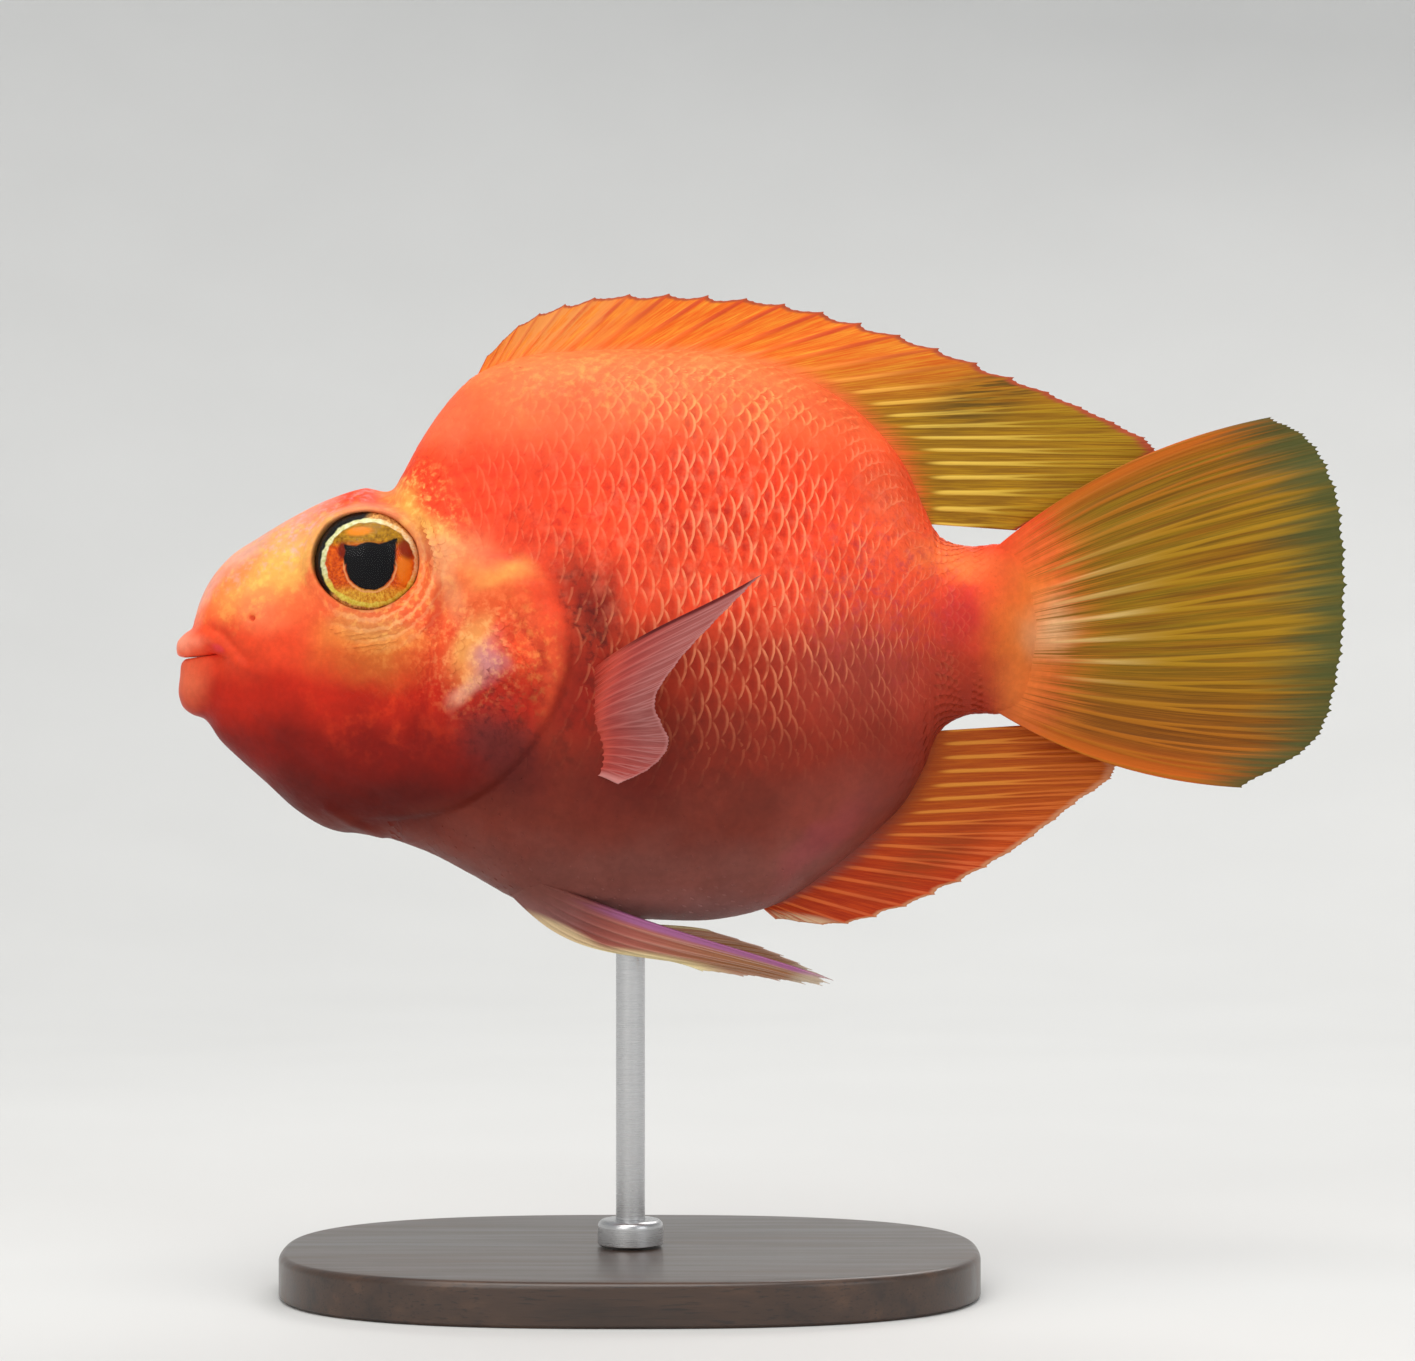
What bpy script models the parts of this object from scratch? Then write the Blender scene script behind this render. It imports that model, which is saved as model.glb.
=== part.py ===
"""A life-size blood parrot cichlid, as a still museum model on a plain display stand.

Sizes are in millimetres: x runs from the tip of the snout to the tail, h is the height above the
middle line of the tail stem, and y is sideways, with the fish's left flank at -y. The model's own
frame is in metres, +Z up, with its origin on the floor under the middle of the fish.
"""

import math

import bmesh
import bpy
import numpy as np
from mathutils import Vector
from mathutils.bvhtree import BVHTree

MM = 0.001
TOTAL_LENGTH = 160.0
AXIS_HEIGHT = 91.0  # of the tail stem's middle line above the floor
GAP = 0.3  # between two pieces that meet
LEFT, RIGHT = -1, 1

# Stations of the body from the mouth to the end of the tail stem.
# Each is the back (x, h), the underside (x, h) and the flank (x, h, half width).
STATIONS = (
    ((1.1, -3.4), (1.1, -3.5), (1.1, -3.45, 0.0)),  # between the lips
    ((0.4, -2.9), (0.8, -3.9), (0.9, -3.4, 1.1)),
    ((0.0, -1.8), (0.3, -5.8), (1.2, -3.7, 2.3)),  # lips
    ((0.8, -0.3), (0.1, -8.1), (2.0, -4.2, 3.4)),
    ((2.1, 0.6), (0.9, -10.4), (3.2, -4.6, 4.5)),  # dip above the upper lip
    ((2.8, 3.6), (3.4, -12.1), (4.6, -4.5, 5.5)),  # chin
    ((4.3, 6.7), (5.6, -15.3), (6.4, -3.9, 6.8)),
    ((7.0, 9.9), (8.5, -18.1), (9.0, -3.3, 8.2)),
    ((11.0, 12.6), (12.0, -21.2), (12.3, -3.0, 9.8)),
    ((15.7, 15.4), (16.1, -24.9), (16.3, -3.0, 11.5)),
    ((20.6, 17.8), (20.6, -27.5), (20.8, -3.2, 13.0)),  # forehead and throat
    ((25.3, 19.3), (25.3, -28.4), (25.3, -3.6, 14.3)),
    ((29.8, 19.6), (29.9, -29.2), (29.9, -4.0, 15.4)),  # nape
    ((31.3, 22.6), (31.2, -29.7), (31.2, -4.0, 15.7)),
    ((34.6, 28.3), (34.6, -31.0), (34.6, -4.0, 16.4)),
    ((40.1, 34.6), (40.1, -33.9), (40.1, -3.5, 17.4)),
    ((47.0, 37.5), (47.0, -37.6), (47.0, -2.5, 18.3)),  # front of the dorsal fin
    ((55.2, 38.4), (55.2, -39.5), (55.2, -1.5, 18.8)),
    ((64.8, 38.6), (64.8, -40.1), (64.8, -1.0, 18.5)),
    ((74.4, 38.0), (74.4, -40.0), (74.4, -0.5, 17.2)),
    ((82.7, 35.9), (82.7, -37.7), (82.7, 0.0, 15.2)),  # vent
    ((89.5, 32.8), (89.5, -33.2), (89.5, 0.0, 12.9)),
    ((95.7, 27.9), (95.7, -28.1), (95.7, 0.0, 10.3)),
    ((99.8, 22.6), (99.8, -23.9), (99.8, 0.0, 8.4)),
    ((102.6, 16.5), (102.6, -18.9), (102.6, 0.0, 7.1)),
    ((104.9, 12.5), (104.7, -13.9), (104.8, 0.0, 6.2)),
    ((108.8, 11.5), (108.6, -11.9), (108.7, 0.0, 5.1)),  # tail stem
    ((113.3, 11.7), (113.3, -11.7), (113.3, 0.0, 3.8)),
    ((115.6, 10.9), (115.6, -10.9), (115.6, 0.0, 1.9)),
)
# Roundness of a section, as the exponent of a superellipse: 2 is an ellipse, less is keener
BROW_ROUND, BACK_ROUND, BELLY_ROUND = 2.3, 1.8, 2.1
BROW_END, BACK_START = 24.0, 42.0
POINTS_ROUND = 48
HEAD_STEPS, TRUNK_STEPS, STEM_STEPS = 26, 27, 7

# Rear edge of the gill cover and the head, from the nape round to the throat, as (x, h)
GILL_EDGE = (
    (28.6, 24.5), (31.3, 19.2), (36.0, 14.2), (41.0, 10.0), (46.5, 8.4), (50.6, 6.2), (53.2, 1.2),
    (53.8, -3.4), (52.4, -8.8), (49.4, -14.4), (44.6, -19.8), (38.4, -23.6), (31.0, -25.2),
    (25.0, -26.0), (21.5, -29.5),
)
GILL_RISE, GILL_REACH = 0.7, 7.0  # how far the cover's edge stands out, and over what width
# Front edge of the movable gill cover, from its top round to its lower end, as (x, h)
COVER_FRONT = ((40.6, 14.0), (37.8, 5.0), (35.9, -2.5), (35.2, -10.0), (36.2, -17.0), (39.6, -28.0))
COVER_THICK = 1.8
HEAD_LOFT_END, TRUNK_LOFT_START, STEM_CUT = 58.0, 21.0, 101.5

MOUTH_SLIT = ((-2.0, -3.0), (3.0, -3.2), (5.6, -2.9), (3.0, -3.7), (-2.0, -4.0))
JAW_HINGE = ((5.3, -2.8), (6.2, -4.6), (6.3, -7.6), (5.4, -10.2), (3.9, -13.2))
JAW_TOP = -3.4
# Lip rolls, as (x, y, h, radius) from the middle of the front round to the corner and cheek
UPPER_LIP = (
    (1.9, 0.0, -2.1, 1.9), (2.5, 2.2, -2.1, 1.8), (3.9, 4.1, -2.1, 1.6), (6.2, 5.6, -2.1, 1.4),
    (8.4, 6.8, -2.9, 1.2), (10.4, 7.8, -4.2, 0.95), (12.3, 8.8, -5.8, 0.6),
)
LOWER_LIP = (
    (2.9, 0.0, -7.9, 1.4), (3.3, 2.1, -7.8, 1.35), (4.4, 3.8, -7.2, 1.2), (5.9, 5.2, -5.8, 0.9),
)
LOWER_LIP_TALL = 1.85  # its height over its depth
LIP_SINK, LIP_SIDES, LIP_STEPS = 0.35, 9, 22
NOSTRIL_AT, NOSTRIL_RADIUS, NOSTRIL_DEPTH = (11.2, 1.3), 0.75, 1.0

EYE_AT = (26.8, 8.9)
EYE_RADIUS, EYE_DEPTH, EYE_SINK = 7.3, 5.2, 2.1
EYE_LEVEL = 0.7  # 0 faces along the skin's normal, 1 straight sideways
EYE_SEGMENTS, EYE_RINGS = 24, 9
RIM_RADIUS, RIM_WIDTH, RIM_DROP = 7.8, 1.4, 1.0
RIM_SECTION = ((-1.0, -2.2), (-0.75, 0.35), (-0.15, 0.7), (0.7, 0.25), (1.0, -2.2))

# Control rays of each fin, as root (x, h) and tip (x, h) from the first ray to the last
DORSAL_RAYS = (
    (41.2, 35.4, 42.3, 37.6), (44.5, 36.9, 48.3, 42.9), (50.4, 38.0, 58.0, 45.8),
    (60.7, 38.5, 71.7, 46.0), (71.7, 38.2, 85.4, 44.4), (81.3, 36.4, 99.2, 40.5),
    (89.5, 32.8, 112.9, 35.5), (94.8, 28.8, 125.2, 30.3), (98.2, 25.0, 134.9, 24.9),
    (101.2, 20.0, 128.2, 20.2), (103.6, 14.4, 115.2, 13.6),
)
TAIL_RAYS = (
    (113.2, 11.0, 149.9, 29.0), (113.3, 8.0, 155.5, 25.6), (113.4, 4.6, 158.9, 18.2),
    (113.4, -0.2, 160.0, 6.0), (113.4, -4.9, 159.0, -6.3), (113.3, -8.3, 155.8, -15.4),
    (113.2, -11.0, 145.9, -21.8),
)
ANAL_RAYS = (
    (80.5, -38.7, 82.0, -40.0), (83.0, -37.5, 89.5, -40.8), (88.6, -33.9, 100.0, -38.3),
    (94.0, -29.6, 111.5, -32.6), (98.6, -25.4, 121.9, -25.5), (102.2, -19.7, 129.2, -18.9),
    (104.6, -14.0, 121.0, -13.0),
)
SPINE_COUNTS = {"dorsal_fin": 17, "anal_fin": 8}
RAY_COUNTS = {"dorsal_fin": 27, "tail_fin": 17, "anal_fin": 16, "pectoral_fin": 12, "pelvic_fin": 6}
# How far a fin's root runs under the skin, before it is cut back to it
ROOT_SINK, TAIL_SINK, PECTORAL_SINK, PELVIC_SINK = 2.2, 3.0, 1.6, 1.2
# Half thicknesses: of the membrane, of a ray above it, and of the fins at their roots
MEMBRANE, RAY_RISE, ROOT_HALF, TAIL_ROOT_HALF, PAIRED_ROOT_HALF = 0.28, 0.26, 0.75, 1.3, 0.7
RISE_LOSS = 0.65  # share of a ray's rise that is gone at its tip
# Depth of the dips between ray tips, as a share of a ray's length
SPINE_NOTCH, SOFT_NOTCH, TAIL_NOTCH, PECTORAL_NOTCH, PELVIC_NOTCH = 0.12, 0.02, 0.012, 0.03, 0.05
RIDGE_SHARE = 0.27  # of the space between two rays, on each side of a ray
FIN_STEPS = 5
TAIL_BOW = 0.075  # how far the tail's outermost rays bend outwards, of their length
DORSAL_LEAN, TAIL_LEAN, ANAL_LEAN = 2.6, 4.2, 2.6  # how far the ends bend off the middle plane

# The pectoral fin's control rays: root (x, h) on the flank and tip (x, out, h), out from it
PECTORAL_RAYS = (
    (54.4, -8.4, 79.6, 13.0, 6.6), (54.8, -10.4, 74.6, 11.4, 1.6), (55.3, -12.4, 69.0, 9.4, -4.4),
    (55.8, -14.4, 65.8, 8.0, -9.8), (56.2, -16.4, 67.6, 7.0, -15.2), (56.6, -18.4, 65.2, 5.4, -18.6),
    (56.8, -20.4, 60.8, 3.6, -20.8),
)
PECTORAL_BOW = -0.04
# The pelvic fins' control rays: root (x, y) on the belly, tip (x, y, h) and the ray's bow,
# with y off the middle plane
PELVIC_RAYS = {
    LEFT: (
        (46.6, 8.8, 89.4, 10.2, -47.9, 0.02), (46.2, 6.9, 84.5, 9.0, -47.8, 0.055),
        (45.6, 5.0, 78.5, 7.8, -47.0, 0.09), (45.0, 3.2, 71.0, 6.6, -46.6, 0.118),
    ),
    RIGHT: (
        (44.0, 8.0, 88.8, 9.2, -48.5, 0.1), (45.4, 6.5, 85.5, 7.6, -46.6, 0.09),
        (46.8, 4.9, 80.5, 6.0, -44.3, 0.09), (48.2, 3.4, 73.0, 4.8, -41.8, 0.075),
    ),
}

STAND_X = 62.0  # of the rod, under the fish's centre of mass
BASE_LENGTH, BASE_WIDTH, BASE_HEIGHT, BASE_ROUND, BASE_BEVEL = 96.0, 66.0, 6.0, 2.6, 1.0
BASE_CORNERS = 40
ROD_RADIUS, ROD_SIDES, ROD_TOP = 2.0, 16, -34.0
COLLAR_RADIUS, COLLAR_HEIGHT = 4.5, 3.5

FINISHES = {
    "skin": ((0.86, 0.17, 0.05), 0.35),
    "fin": ((0.80, 0.36, 0.07), 0.40),
    "eye": ((0.72, 0.36, 0.05), 0.08),
    "base": ((0.035, 0.03, 0.028), 0.45),
    "steel": ((0.60, 0.60, 0.62), 0.25),
}


def placed(points):
    """Points from the fish's millimetres to the model's own frame in metres."""
    points = np.asarray(points, float)
    return (points + (-TOTAL_LENGTH / 2, 0.0, AXIS_HEIGHT)) * MM


def smooth(knots, values, at):
    """Values on the smooth curve that passes through the given values at the knots."""
    knots, values, at = (np.asarray(part, float) for part in (knots, values, at))
    step = np.diff(knots)[:, None]
    rise = np.diff(values, axis=0) / step
    slope = np.vstack([rise[:1], rise[-1:]])
    inner = (rise[:-1] * step[1:] + rise[1:] * step[:-1]) / (step[:-1] + step[1:])
    slope = np.vstack([slope[:1], inner, slope[1:]])
    i = np.clip(np.searchsorted(knots, at, side="right") - 1, 0, len(knots) - 2)
    width = (knots[i + 1] - knots[i])[..., None]
    t = (at - knots[i])[..., None] / width
    return (
        (2 * t**3 - 3 * t**2 + 1) * values[i]
        + (t**3 - 2 * t**2 + t) * width * slope[i]
        + (3 * t**2 - 2 * t**3) * values[i + 1]
        + (t**3 - t**2) * width * slope[i + 1]
    )


def ease(low, high, value):
    """0 below low, 1 above high, and a smooth step between."""
    t = np.clip((np.asarray(value, float) - low) / (high - low), 0, 1)
    return t * t * (3 - 2 * t)


STATION_ROWS = np.array([[*back, *under, *flank] for back, under, flank in STATIONS])
BACK, UNDER, FLANK = STATION_ROWS[:, 0:2], STATION_ROWS[:, 2:4], STATION_ROWS[:, 4:7]


def station_knots():
    """Distance along the body of each station, as the mean of its three lines."""
    lengths = [np.linalg.norm(np.diff(line, axis=0), axis=1) for line in (BACK, UNDER, FLANK)]
    return np.concatenate([[0.0], np.cumsum(np.mean(lengths, axis=0))])


KNOTS = station_knots()


def along_at(x):
    """Distance along the body where the flank line reaches x."""
    fine = np.linspace(0, KNOTS[-1], 2000)
    return float(np.interp(x, smooth(KNOTS, FLANK, fine)[:, 0], fine))


def body_grid(along, angles):
    """Skin points (x, y, h) for each distance along the body and each angle from the back."""
    rows = smooth(KNOTS, STATION_ROWS, along)[:, None, :]
    cosine, sine = np.cos(angles)[None, :], np.sin(angles)[None, :]
    back_share = ease(BROW_END, BACK_START, rows[..., 4])
    top_round = BROW_ROUND + (BACK_ROUND - BROW_ROUND) * back_share
    exponent = 2 / np.where(cosine > 0, top_round, BELLY_ROUND)
    reach = np.abs(cosine) ** exponent
    edge_x = np.where(cosine > 0, rows[..., 0], rows[..., 2])
    edge_h = np.where(cosine > 0, rows[..., 1], rows[..., 3])
    x = rows[..., 4] + (edge_x - rows[..., 4]) * reach
    h = rows[..., 5] + (edge_h - rows[..., 5]) * reach
    y = np.maximum(rows[..., 6], 0) * np.sign(sine) * np.abs(sine) ** exponent
    return np.stack([x, y, h], axis=-1)


def grid_normals(grid):
    """Outward normals of a grid of points that closes round its second axis."""
    lengthways = np.gradient(grid, axis=0)
    round_it = np.roll(grid, -1, axis=1) - np.roll(grid, 1, axis=1)
    normals = np.cross(lengthways, round_it)
    size = np.linalg.norm(normals, axis=-1, keepdims=True)
    return normals / np.maximum(size, 1e-9)


def curve_points(control, count):
    """Evenly spread points on the smooth curve through the control points."""
    control = np.asarray(control, float)
    chord = np.linalg.norm(np.diff(control[:, :2], axis=0), axis=1)
    knots = np.concatenate([[0.0], np.cumsum(chord)])
    return smooth(knots, control, np.linspace(0, knots[-1], count))


def gill_line(offset=0.0, count=40):
    """Points on the gill edge in side view, moved backwards by the offset."""
    line = curve_points(GILL_EDGE, count)
    run = np.gradient(line, axis=0)
    outward = np.stack([-run[:, 1], run[:, 0]], axis=1)
    return line + offset * outward / np.linalg.norm(outward, axis=1, keepdims=True)


def distance_to_line(points, line):
    """Side view distance of each point from a line of points."""
    start, run = line[:-1], np.diff(line, axis=0)
    offset = points[..., None, :] - start
    share = np.clip((offset * run).sum(-1) / (run * run).sum(-1), 0, 1)
    return np.linalg.norm(offset - share[..., None] * run, axis=-1).min(-1)


def gill_cover_relief(grid):
    """How far the head's skin stands out towards the rear edge of the gill cover."""
    side_view = grid[..., [0, 2]]
    distance = distance_to_line(side_view, gill_line())
    cover = ease(24.0, 38.0, grid[..., 0]) * (1 - ease(9.0, 14.0, grid[..., 2]))
    return GILL_RISE * (1 - ease(0.0, GILL_REACH, distance)) * cover


def mesh_object(name, vertices, faces, finish="skin"):
    """A named object from points in the fish's millimetres, with all faces pointing out."""
    mesh = bpy.data.meshes.new(name)
    mesh.from_pydata([tuple(p) for p in placed(vertices)], [], faces)
    made = bmesh.new()
    made.from_mesh(mesh)
    bmesh.ops.recalc_face_normals(made, faces=made.faces)
    made.to_mesh(mesh)
    made.free()
    mesh.materials.append(material(finish))
    obj = bpy.data.objects.new(name, mesh)
    bpy.context.scene.collection.objects.link(obj)
    return obj


def material(finish):
    """The finish's material, made the first time it is asked for."""
    if finish in bpy.data.materials:
        return bpy.data.materials[finish]
    colour, roughness = FINISHES[finish]
    made = bpy.data.materials.new(finish)
    made.use_nodes = True
    shader = made.node_tree.nodes["Principled BSDF"]
    shader.inputs["Base Color"].default_value = (*colour, 1.0)
    shader.inputs["Roughness"].default_value = roughness
    shader.inputs["Metallic"].default_value = 1.0 if finish == "steel" else 0.0
    return made


def closed_grid(grid):
    """Vertices and faces of a tube of rings, closed at both ends by a point in the middle."""
    rings, round_it = grid.shape[:2]
    vertices = np.vstack([grid.reshape(-1, 3), grid[0].mean(0), grid[-1].mean(0)])
    first, last = len(vertices) - 2, len(vertices) - 1
    faces = []
    for j in range(round_it):
        k = (j + 1) % round_it
        faces.append((first, k, j))
        faces.append((last, (rings - 1) * round_it + j, (rings - 1) * round_it + k))
        for i in range(rings - 1):
            a, b = i * round_it, (i + 1) * round_it
            faces.append((a + j, a + k, b + k, b + j))
    return vertices, faces


def closed_ring(name, profile, centre, directions, sides, finish="skin"):
    """A solid hoop round an axis, from the corners of its section as (radius, height)."""
    first, second, axis = directions
    angles = 2 * math.pi * np.arange(sides) / sides
    spokes = np.cos(angles)[:, None] * first + np.sin(angles)[:, None] * second
    rings = [centre + radius * spokes + height * axis for radius, height in profile]
    faces = []
    for i in range(len(profile)):
        a, b = i * sides, ((i + 1) % len(profile)) * sides
        for j in range(sides):
            k = (j + 1) % sides
            faces.append((a + j, a + k, b + k, b + j))
    return mesh_object(name, np.vstack(rings), faces, finish)


def flesh(name, start, end, steps, swell=0.0, covered=False):
    """The body from one x to another as a closed solid, with the gill cover's rise if covered."""
    low, high = along_at(start), along_at(end)
    share = np.linspace(0, 1, steps + 1)
    if start <= 0:
        low, share = KNOTS[1] * 0.5, share**1.25
    grid = body_grid(low + (high - low) * share, 2 * math.pi * np.arange(POINTS_ROUND) / POINTS_ROUND)
    normals = grid_normals(grid)
    rise = swell + (gill_cover_relief(grid) if covered else 0.0)
    grid = grid + normals * np.broadcast_to(rise, grid.shape[:2])[..., None]
    return mesh_object(name, *closed_grid(grid))


def prism(name, outline, low=-60.0, high=60.0):
    """A side view outline (x, h) made a solid from one width to another."""
    outline = [tuple(point) for point in outline]
    count = len(outline)
    vertices = [(x, y, h) for y in (low, high) for x, h in outline]
    faces = [tuple(range(count)), tuple(range(2 * count - 1, count - 1, -1))]
    faces += [(i, (i + 1) % count, count + (i + 1) % count, count + i) for i in range(count)]
    obj = mesh_object(name, vertices, faces)
    made = bmesh.new()
    made.from_mesh(obj.data)
    bmesh.ops.triangulate(made, faces=[face for face in made.faces if len(face.verts) > 4])
    made.to_mesh(obj.data)
    made.free()
    return obj


def boolean(obj, others, operation, solver="EXACT"):
    """Joins or cuts obj with the other objects, applies that, and removes them."""
    helpers = bpy.data.collections.new("helpers")
    for other in others:
        helpers.objects.link(other)
    step = obj.modifiers.new("boolean", "BOOLEAN")
    step.operation = operation
    step.solver = solver
    step.operand_type = "COLLECTION"
    step.collection = helpers
    graph = bpy.context.evaluated_depsgraph_get()
    mesh = bpy.data.meshes.new_from_object(obj.evaluated_get(graph))
    obj.modifiers.clear()
    obj.data = mesh
    for other in others:
        bpy.data.objects.remove(other)
    bpy.data.collections.remove(helpers)
    keep_largest(obj)
    return obj


def cut(obj, *cutters):
    return boolean(obj, cutters, "DIFFERENCE")


def join(obj, *pieces):
    return boolean(obj, pieces, "UNION")


def keep_within(obj, region):
    return boolean(obj, (region,), "INTERSECT")


def keep_largest(obj):
    """Drops all but the largest connected surface of a mesh."""
    made = bmesh.new()
    made.from_mesh(obj.data)
    bmesh.ops.remove_doubles(made, verts=made.verts, dist=0.001 * MM)
    bmesh.ops.dissolve_degenerate(made, edges=made.edges, dist=0.0005 * MM)
    left, groups = set(made.faces), []
    while left:
        group, front = set(), [left.pop()]
        while front:
            face = front.pop()
            group.add(face)
            for edge in face.edges:
                near = [other for other in edge.link_faces if other in left]
                left.difference_update(near)
                front.extend(near)
        groups.append(group)
    groups.sort(key=lambda group: -sum(face.calc_area() for face in group))
    loose = [face for group in groups[1:] for face in group]
    bmesh.ops.delete(made, geom=loose, context="FACES")
    made.to_mesh(obj.data)
    made.free()


def skin_tree():
    """The plain skin as a search tree, for setting eyes, lips and fins on it."""
    angles = 2 * math.pi * np.arange(180) / 180
    grid = body_grid(np.linspace(KNOTS[1] * 0.2, KNOTS[-1], 260), angles)
    vertices, faces = closed_grid(grid)
    return BVHTree.FromPolygons([tuple(p) for p in vertices], faces)


SKIN_TREE = skin_tree()


def on_flank(x, h, side):
    """The skin's point and outward normal that a sideways line at (x, h) meets first."""
    point, normal, *_ = SKIN_TREE.ray_cast(Vector((x, side * 90.0, h)), Vector((0, -side, 0)))
    normal = normal if normal.y * side > 0 else -normal
    return np.array(point), np.array(normal)


def on_belly(x, y):
    """The skin's point and outward normal straight under the body."""
    point, normal, *_ = SKIN_TREE.ray_cast(Vector((x, y, -90.0)), Vector((0.0, 0.0, 1.0)))
    normal = normal if normal.z < 0 else -normal
    return np.array(point), np.array(normal)


def on_skin(point):
    """The nearest point of the skin and its outward normal, for a point near it."""
    nearest, normal, *_ = SKIN_TREE.find_nearest(Vector(point))
    outward = Vector(point) - Vector((point[0] + 6.0, 0.0, -4.0))
    normal = normal if normal.dot(outward) > 0 else -normal
    return np.array(nearest), np.array(normal)


def frame_for(axis):
    """Two unit vectors square to an axis and to each other, and the axis as a unit vector."""
    axis = np.asarray(axis, float) / np.linalg.norm(axis)
    first = np.cross((0.0, 0.0, 1.0), axis)
    first /= np.linalg.norm(first)
    return first, np.cross(axis, first), axis


def eye_frame(side):
    """Centre of an eyeball and its three directions, the last one out of the pupil."""
    point, normal = on_flank(*EYE_AT, side)
    axis = (1 - EYE_LEVEL) * normal + EYE_LEVEL * np.array((0.0, side, 0.0))
    first, second, axis = frame_for(axis)
    return point - EYE_SINK * axis, (first, second, axis)


def turned(name, profile, centre, directions, sides, finish):
    """A solid turned round an axis from a profile of (radius, height), closed at its ends."""
    first, second, axis = directions
    angles = 2 * math.pi * np.arange(sides) / sides
    spokes = np.cos(angles)[:, None] * first + np.sin(angles)[:, None] * second
    rings = [centre + radius * spokes + height * axis for radius, height in profile]
    return mesh_object(name, *closed_grid(np.array(rings)), finish)


def eyeball(name, side, swell=0.0, finish="eye"):
    """A flattened ball, half sunk in its socket."""
    centre, directions = eye_frame(side)
    bends = np.linspace(-90, 90, EYE_RINGS + 1)[1:-1]
    bends = np.concatenate([[-88.0], bends, [88.0]])
    profile = [
        (
            (EYE_RADIUS + swell) * math.cos(math.radians(bend)),
            (EYE_DEPTH + swell) * math.sin(math.radians(bend)),
        )
        for bend in bends
    ]
    return turned(name, profile, centre, directions, EYE_SEGMENTS, finish)


def eye_rim(side):
    """The raised ring of skin round the eye."""
    centre, directions = eye_frame(side)
    centre = centre + (EYE_SINK - RIM_DROP) * directions[2]
    profile = [(RIM_RADIUS + out * RIM_WIDTH, up) for out, up in RIM_SECTION]
    return closed_ring(f"rim_{side}", profile, centre, directions, EYE_SEGMENTS)


def lip(name, half_path, tall=1.0):
    """A roll of flesh laid on the skin from one corner of the mouth round to the other."""
    half = curve_points([(x, y, h, radius) for x, y, h, radius in half_path], LIP_STEPS // 2 + 1)
    mirrored = half[:0:-1] * (1, -1, 1, 1)
    path = np.vstack([mirrored, half])
    centres = []
    for x, y, h, radius in path:
        point, normal = on_skin((x, y, h))
        centres.append(point - normal * radius * LIP_SINK)
    centres = np.array(centres)
    run = np.gradient(centres, axis=0)
    angles = 2 * math.pi * np.arange(LIP_SIDES) / LIP_SIDES
    rings = []
    for centre, way, radius in zip(centres, run, path[:, 3]):
        first, second, _ = frame_for(way)
        spokes = np.cos(angles)[:, None] * first + np.sin(angles)[:, None] * second * tall
        rings.append(centre + radius * spokes)
    return mesh_object(name, *closed_grid(np.array(rings)))


def nostril(side):
    """A short round plug that cuts the nostril."""
    point, normal = on_flank(*NOSTRIL_AT, side)
    profile = [(NOSTRIL_RADIUS, -NOSTRIL_DEPTH), (NOSTRIL_RADIUS * 1.25, NOSTRIL_DEPTH)]
    return turned(f"nostril_{side}", profile, point, frame_for(normal), 8, "skin")


def head_region(offset):
    """Everything in front of the gill edge."""
    corners = ((21.0, -60.0), (-20.0, -60.0), (-20.0, 60.0), (26.0, 60.0))
    return prism("head_region", [*gill_line(offset), *corners])


def jaw_region(offset):
    """The lower jaw below the mouth and in front of its hinge, grown by the offset."""
    hinge = [(x + offset, h + offset * 0.5) for x, h in JAW_HINGE]
    top = JAW_TOP + offset
    return prism("jaw_region", [*hinge, (3.0, -30.0), (-20.0, -30.0), (-20.0, top), (2.0, top)])


def cover_region(side, offset):
    """The side view of one gill cover, grown by the offset."""
    front = [(x - offset, h) for x, h in COVER_FRONT]
    low, high = sorted((side * 3.0, side * 60.0))
    return prism("cover_region", [*front, (70.0, -28.0), (70.0, 14.0)], low, high)


def head_core(depth):
    """The head below its skin, whole."""
    return flesh("head_core", 0.0, HEAD_LOFT_END, HEAD_STEPS, swell=-depth)


def duplicate(obj, name):
    """A second object with its own copy of the mesh."""
    copy = bpy.data.objects.new(name, obj.data.copy())
    bpy.context.scene.collection.objects.link(copy)
    return copy


def make_gill_covers(head):
    """Parts the two thin gill covers from the head."""
    for side, word in ((LEFT, "left"), (RIGHT, "right")):
        cover = duplicate(head, f"gill_cover_{word}")
        keep_within(cover, cover_region(side, 0.0))
        cut(cover, head_core(COVER_THICK))
    for side in (LEFT, RIGHT):
        room = cover_region(side, GAP)
        cut(room, head_core(COVER_THICK + GAP))
        cut(head, room)


def make_head():
    """The head with its lips, nostrils, eye rims and sockets, parted from its jaw and covers."""
    head = flesh("head", 0.0, HEAD_LOFT_END, HEAD_STEPS, covered=True)
    join(head, lip("upper_lip", UPPER_LIP), lip("lower_lip", LOWER_LIP, LOWER_LIP_TALL))
    keep_within(head, head_region(-GAP / 2))
    join(head, eye_rim(LEFT), eye_rim(RIGHT))
    jaw = duplicate(head, "lower_jaw")
    cut(head, eyeball("socket_l", LEFT, GAP), eyeball("socket_r", RIGHT, GAP))
    cut(head, nostril(LEFT), nostril(RIGHT))
    cut(head, jaw_region(GAP), prism("slit", MOUTH_SLIT))
    make_gill_covers(head)
    keep_within(jaw, jaw_region(0.0))
    cut(jaw, prism("slit", MOUTH_SLIT))
    eyeball("eye_left", LEFT)
    eyeball("eye_right", RIGHT)


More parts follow.
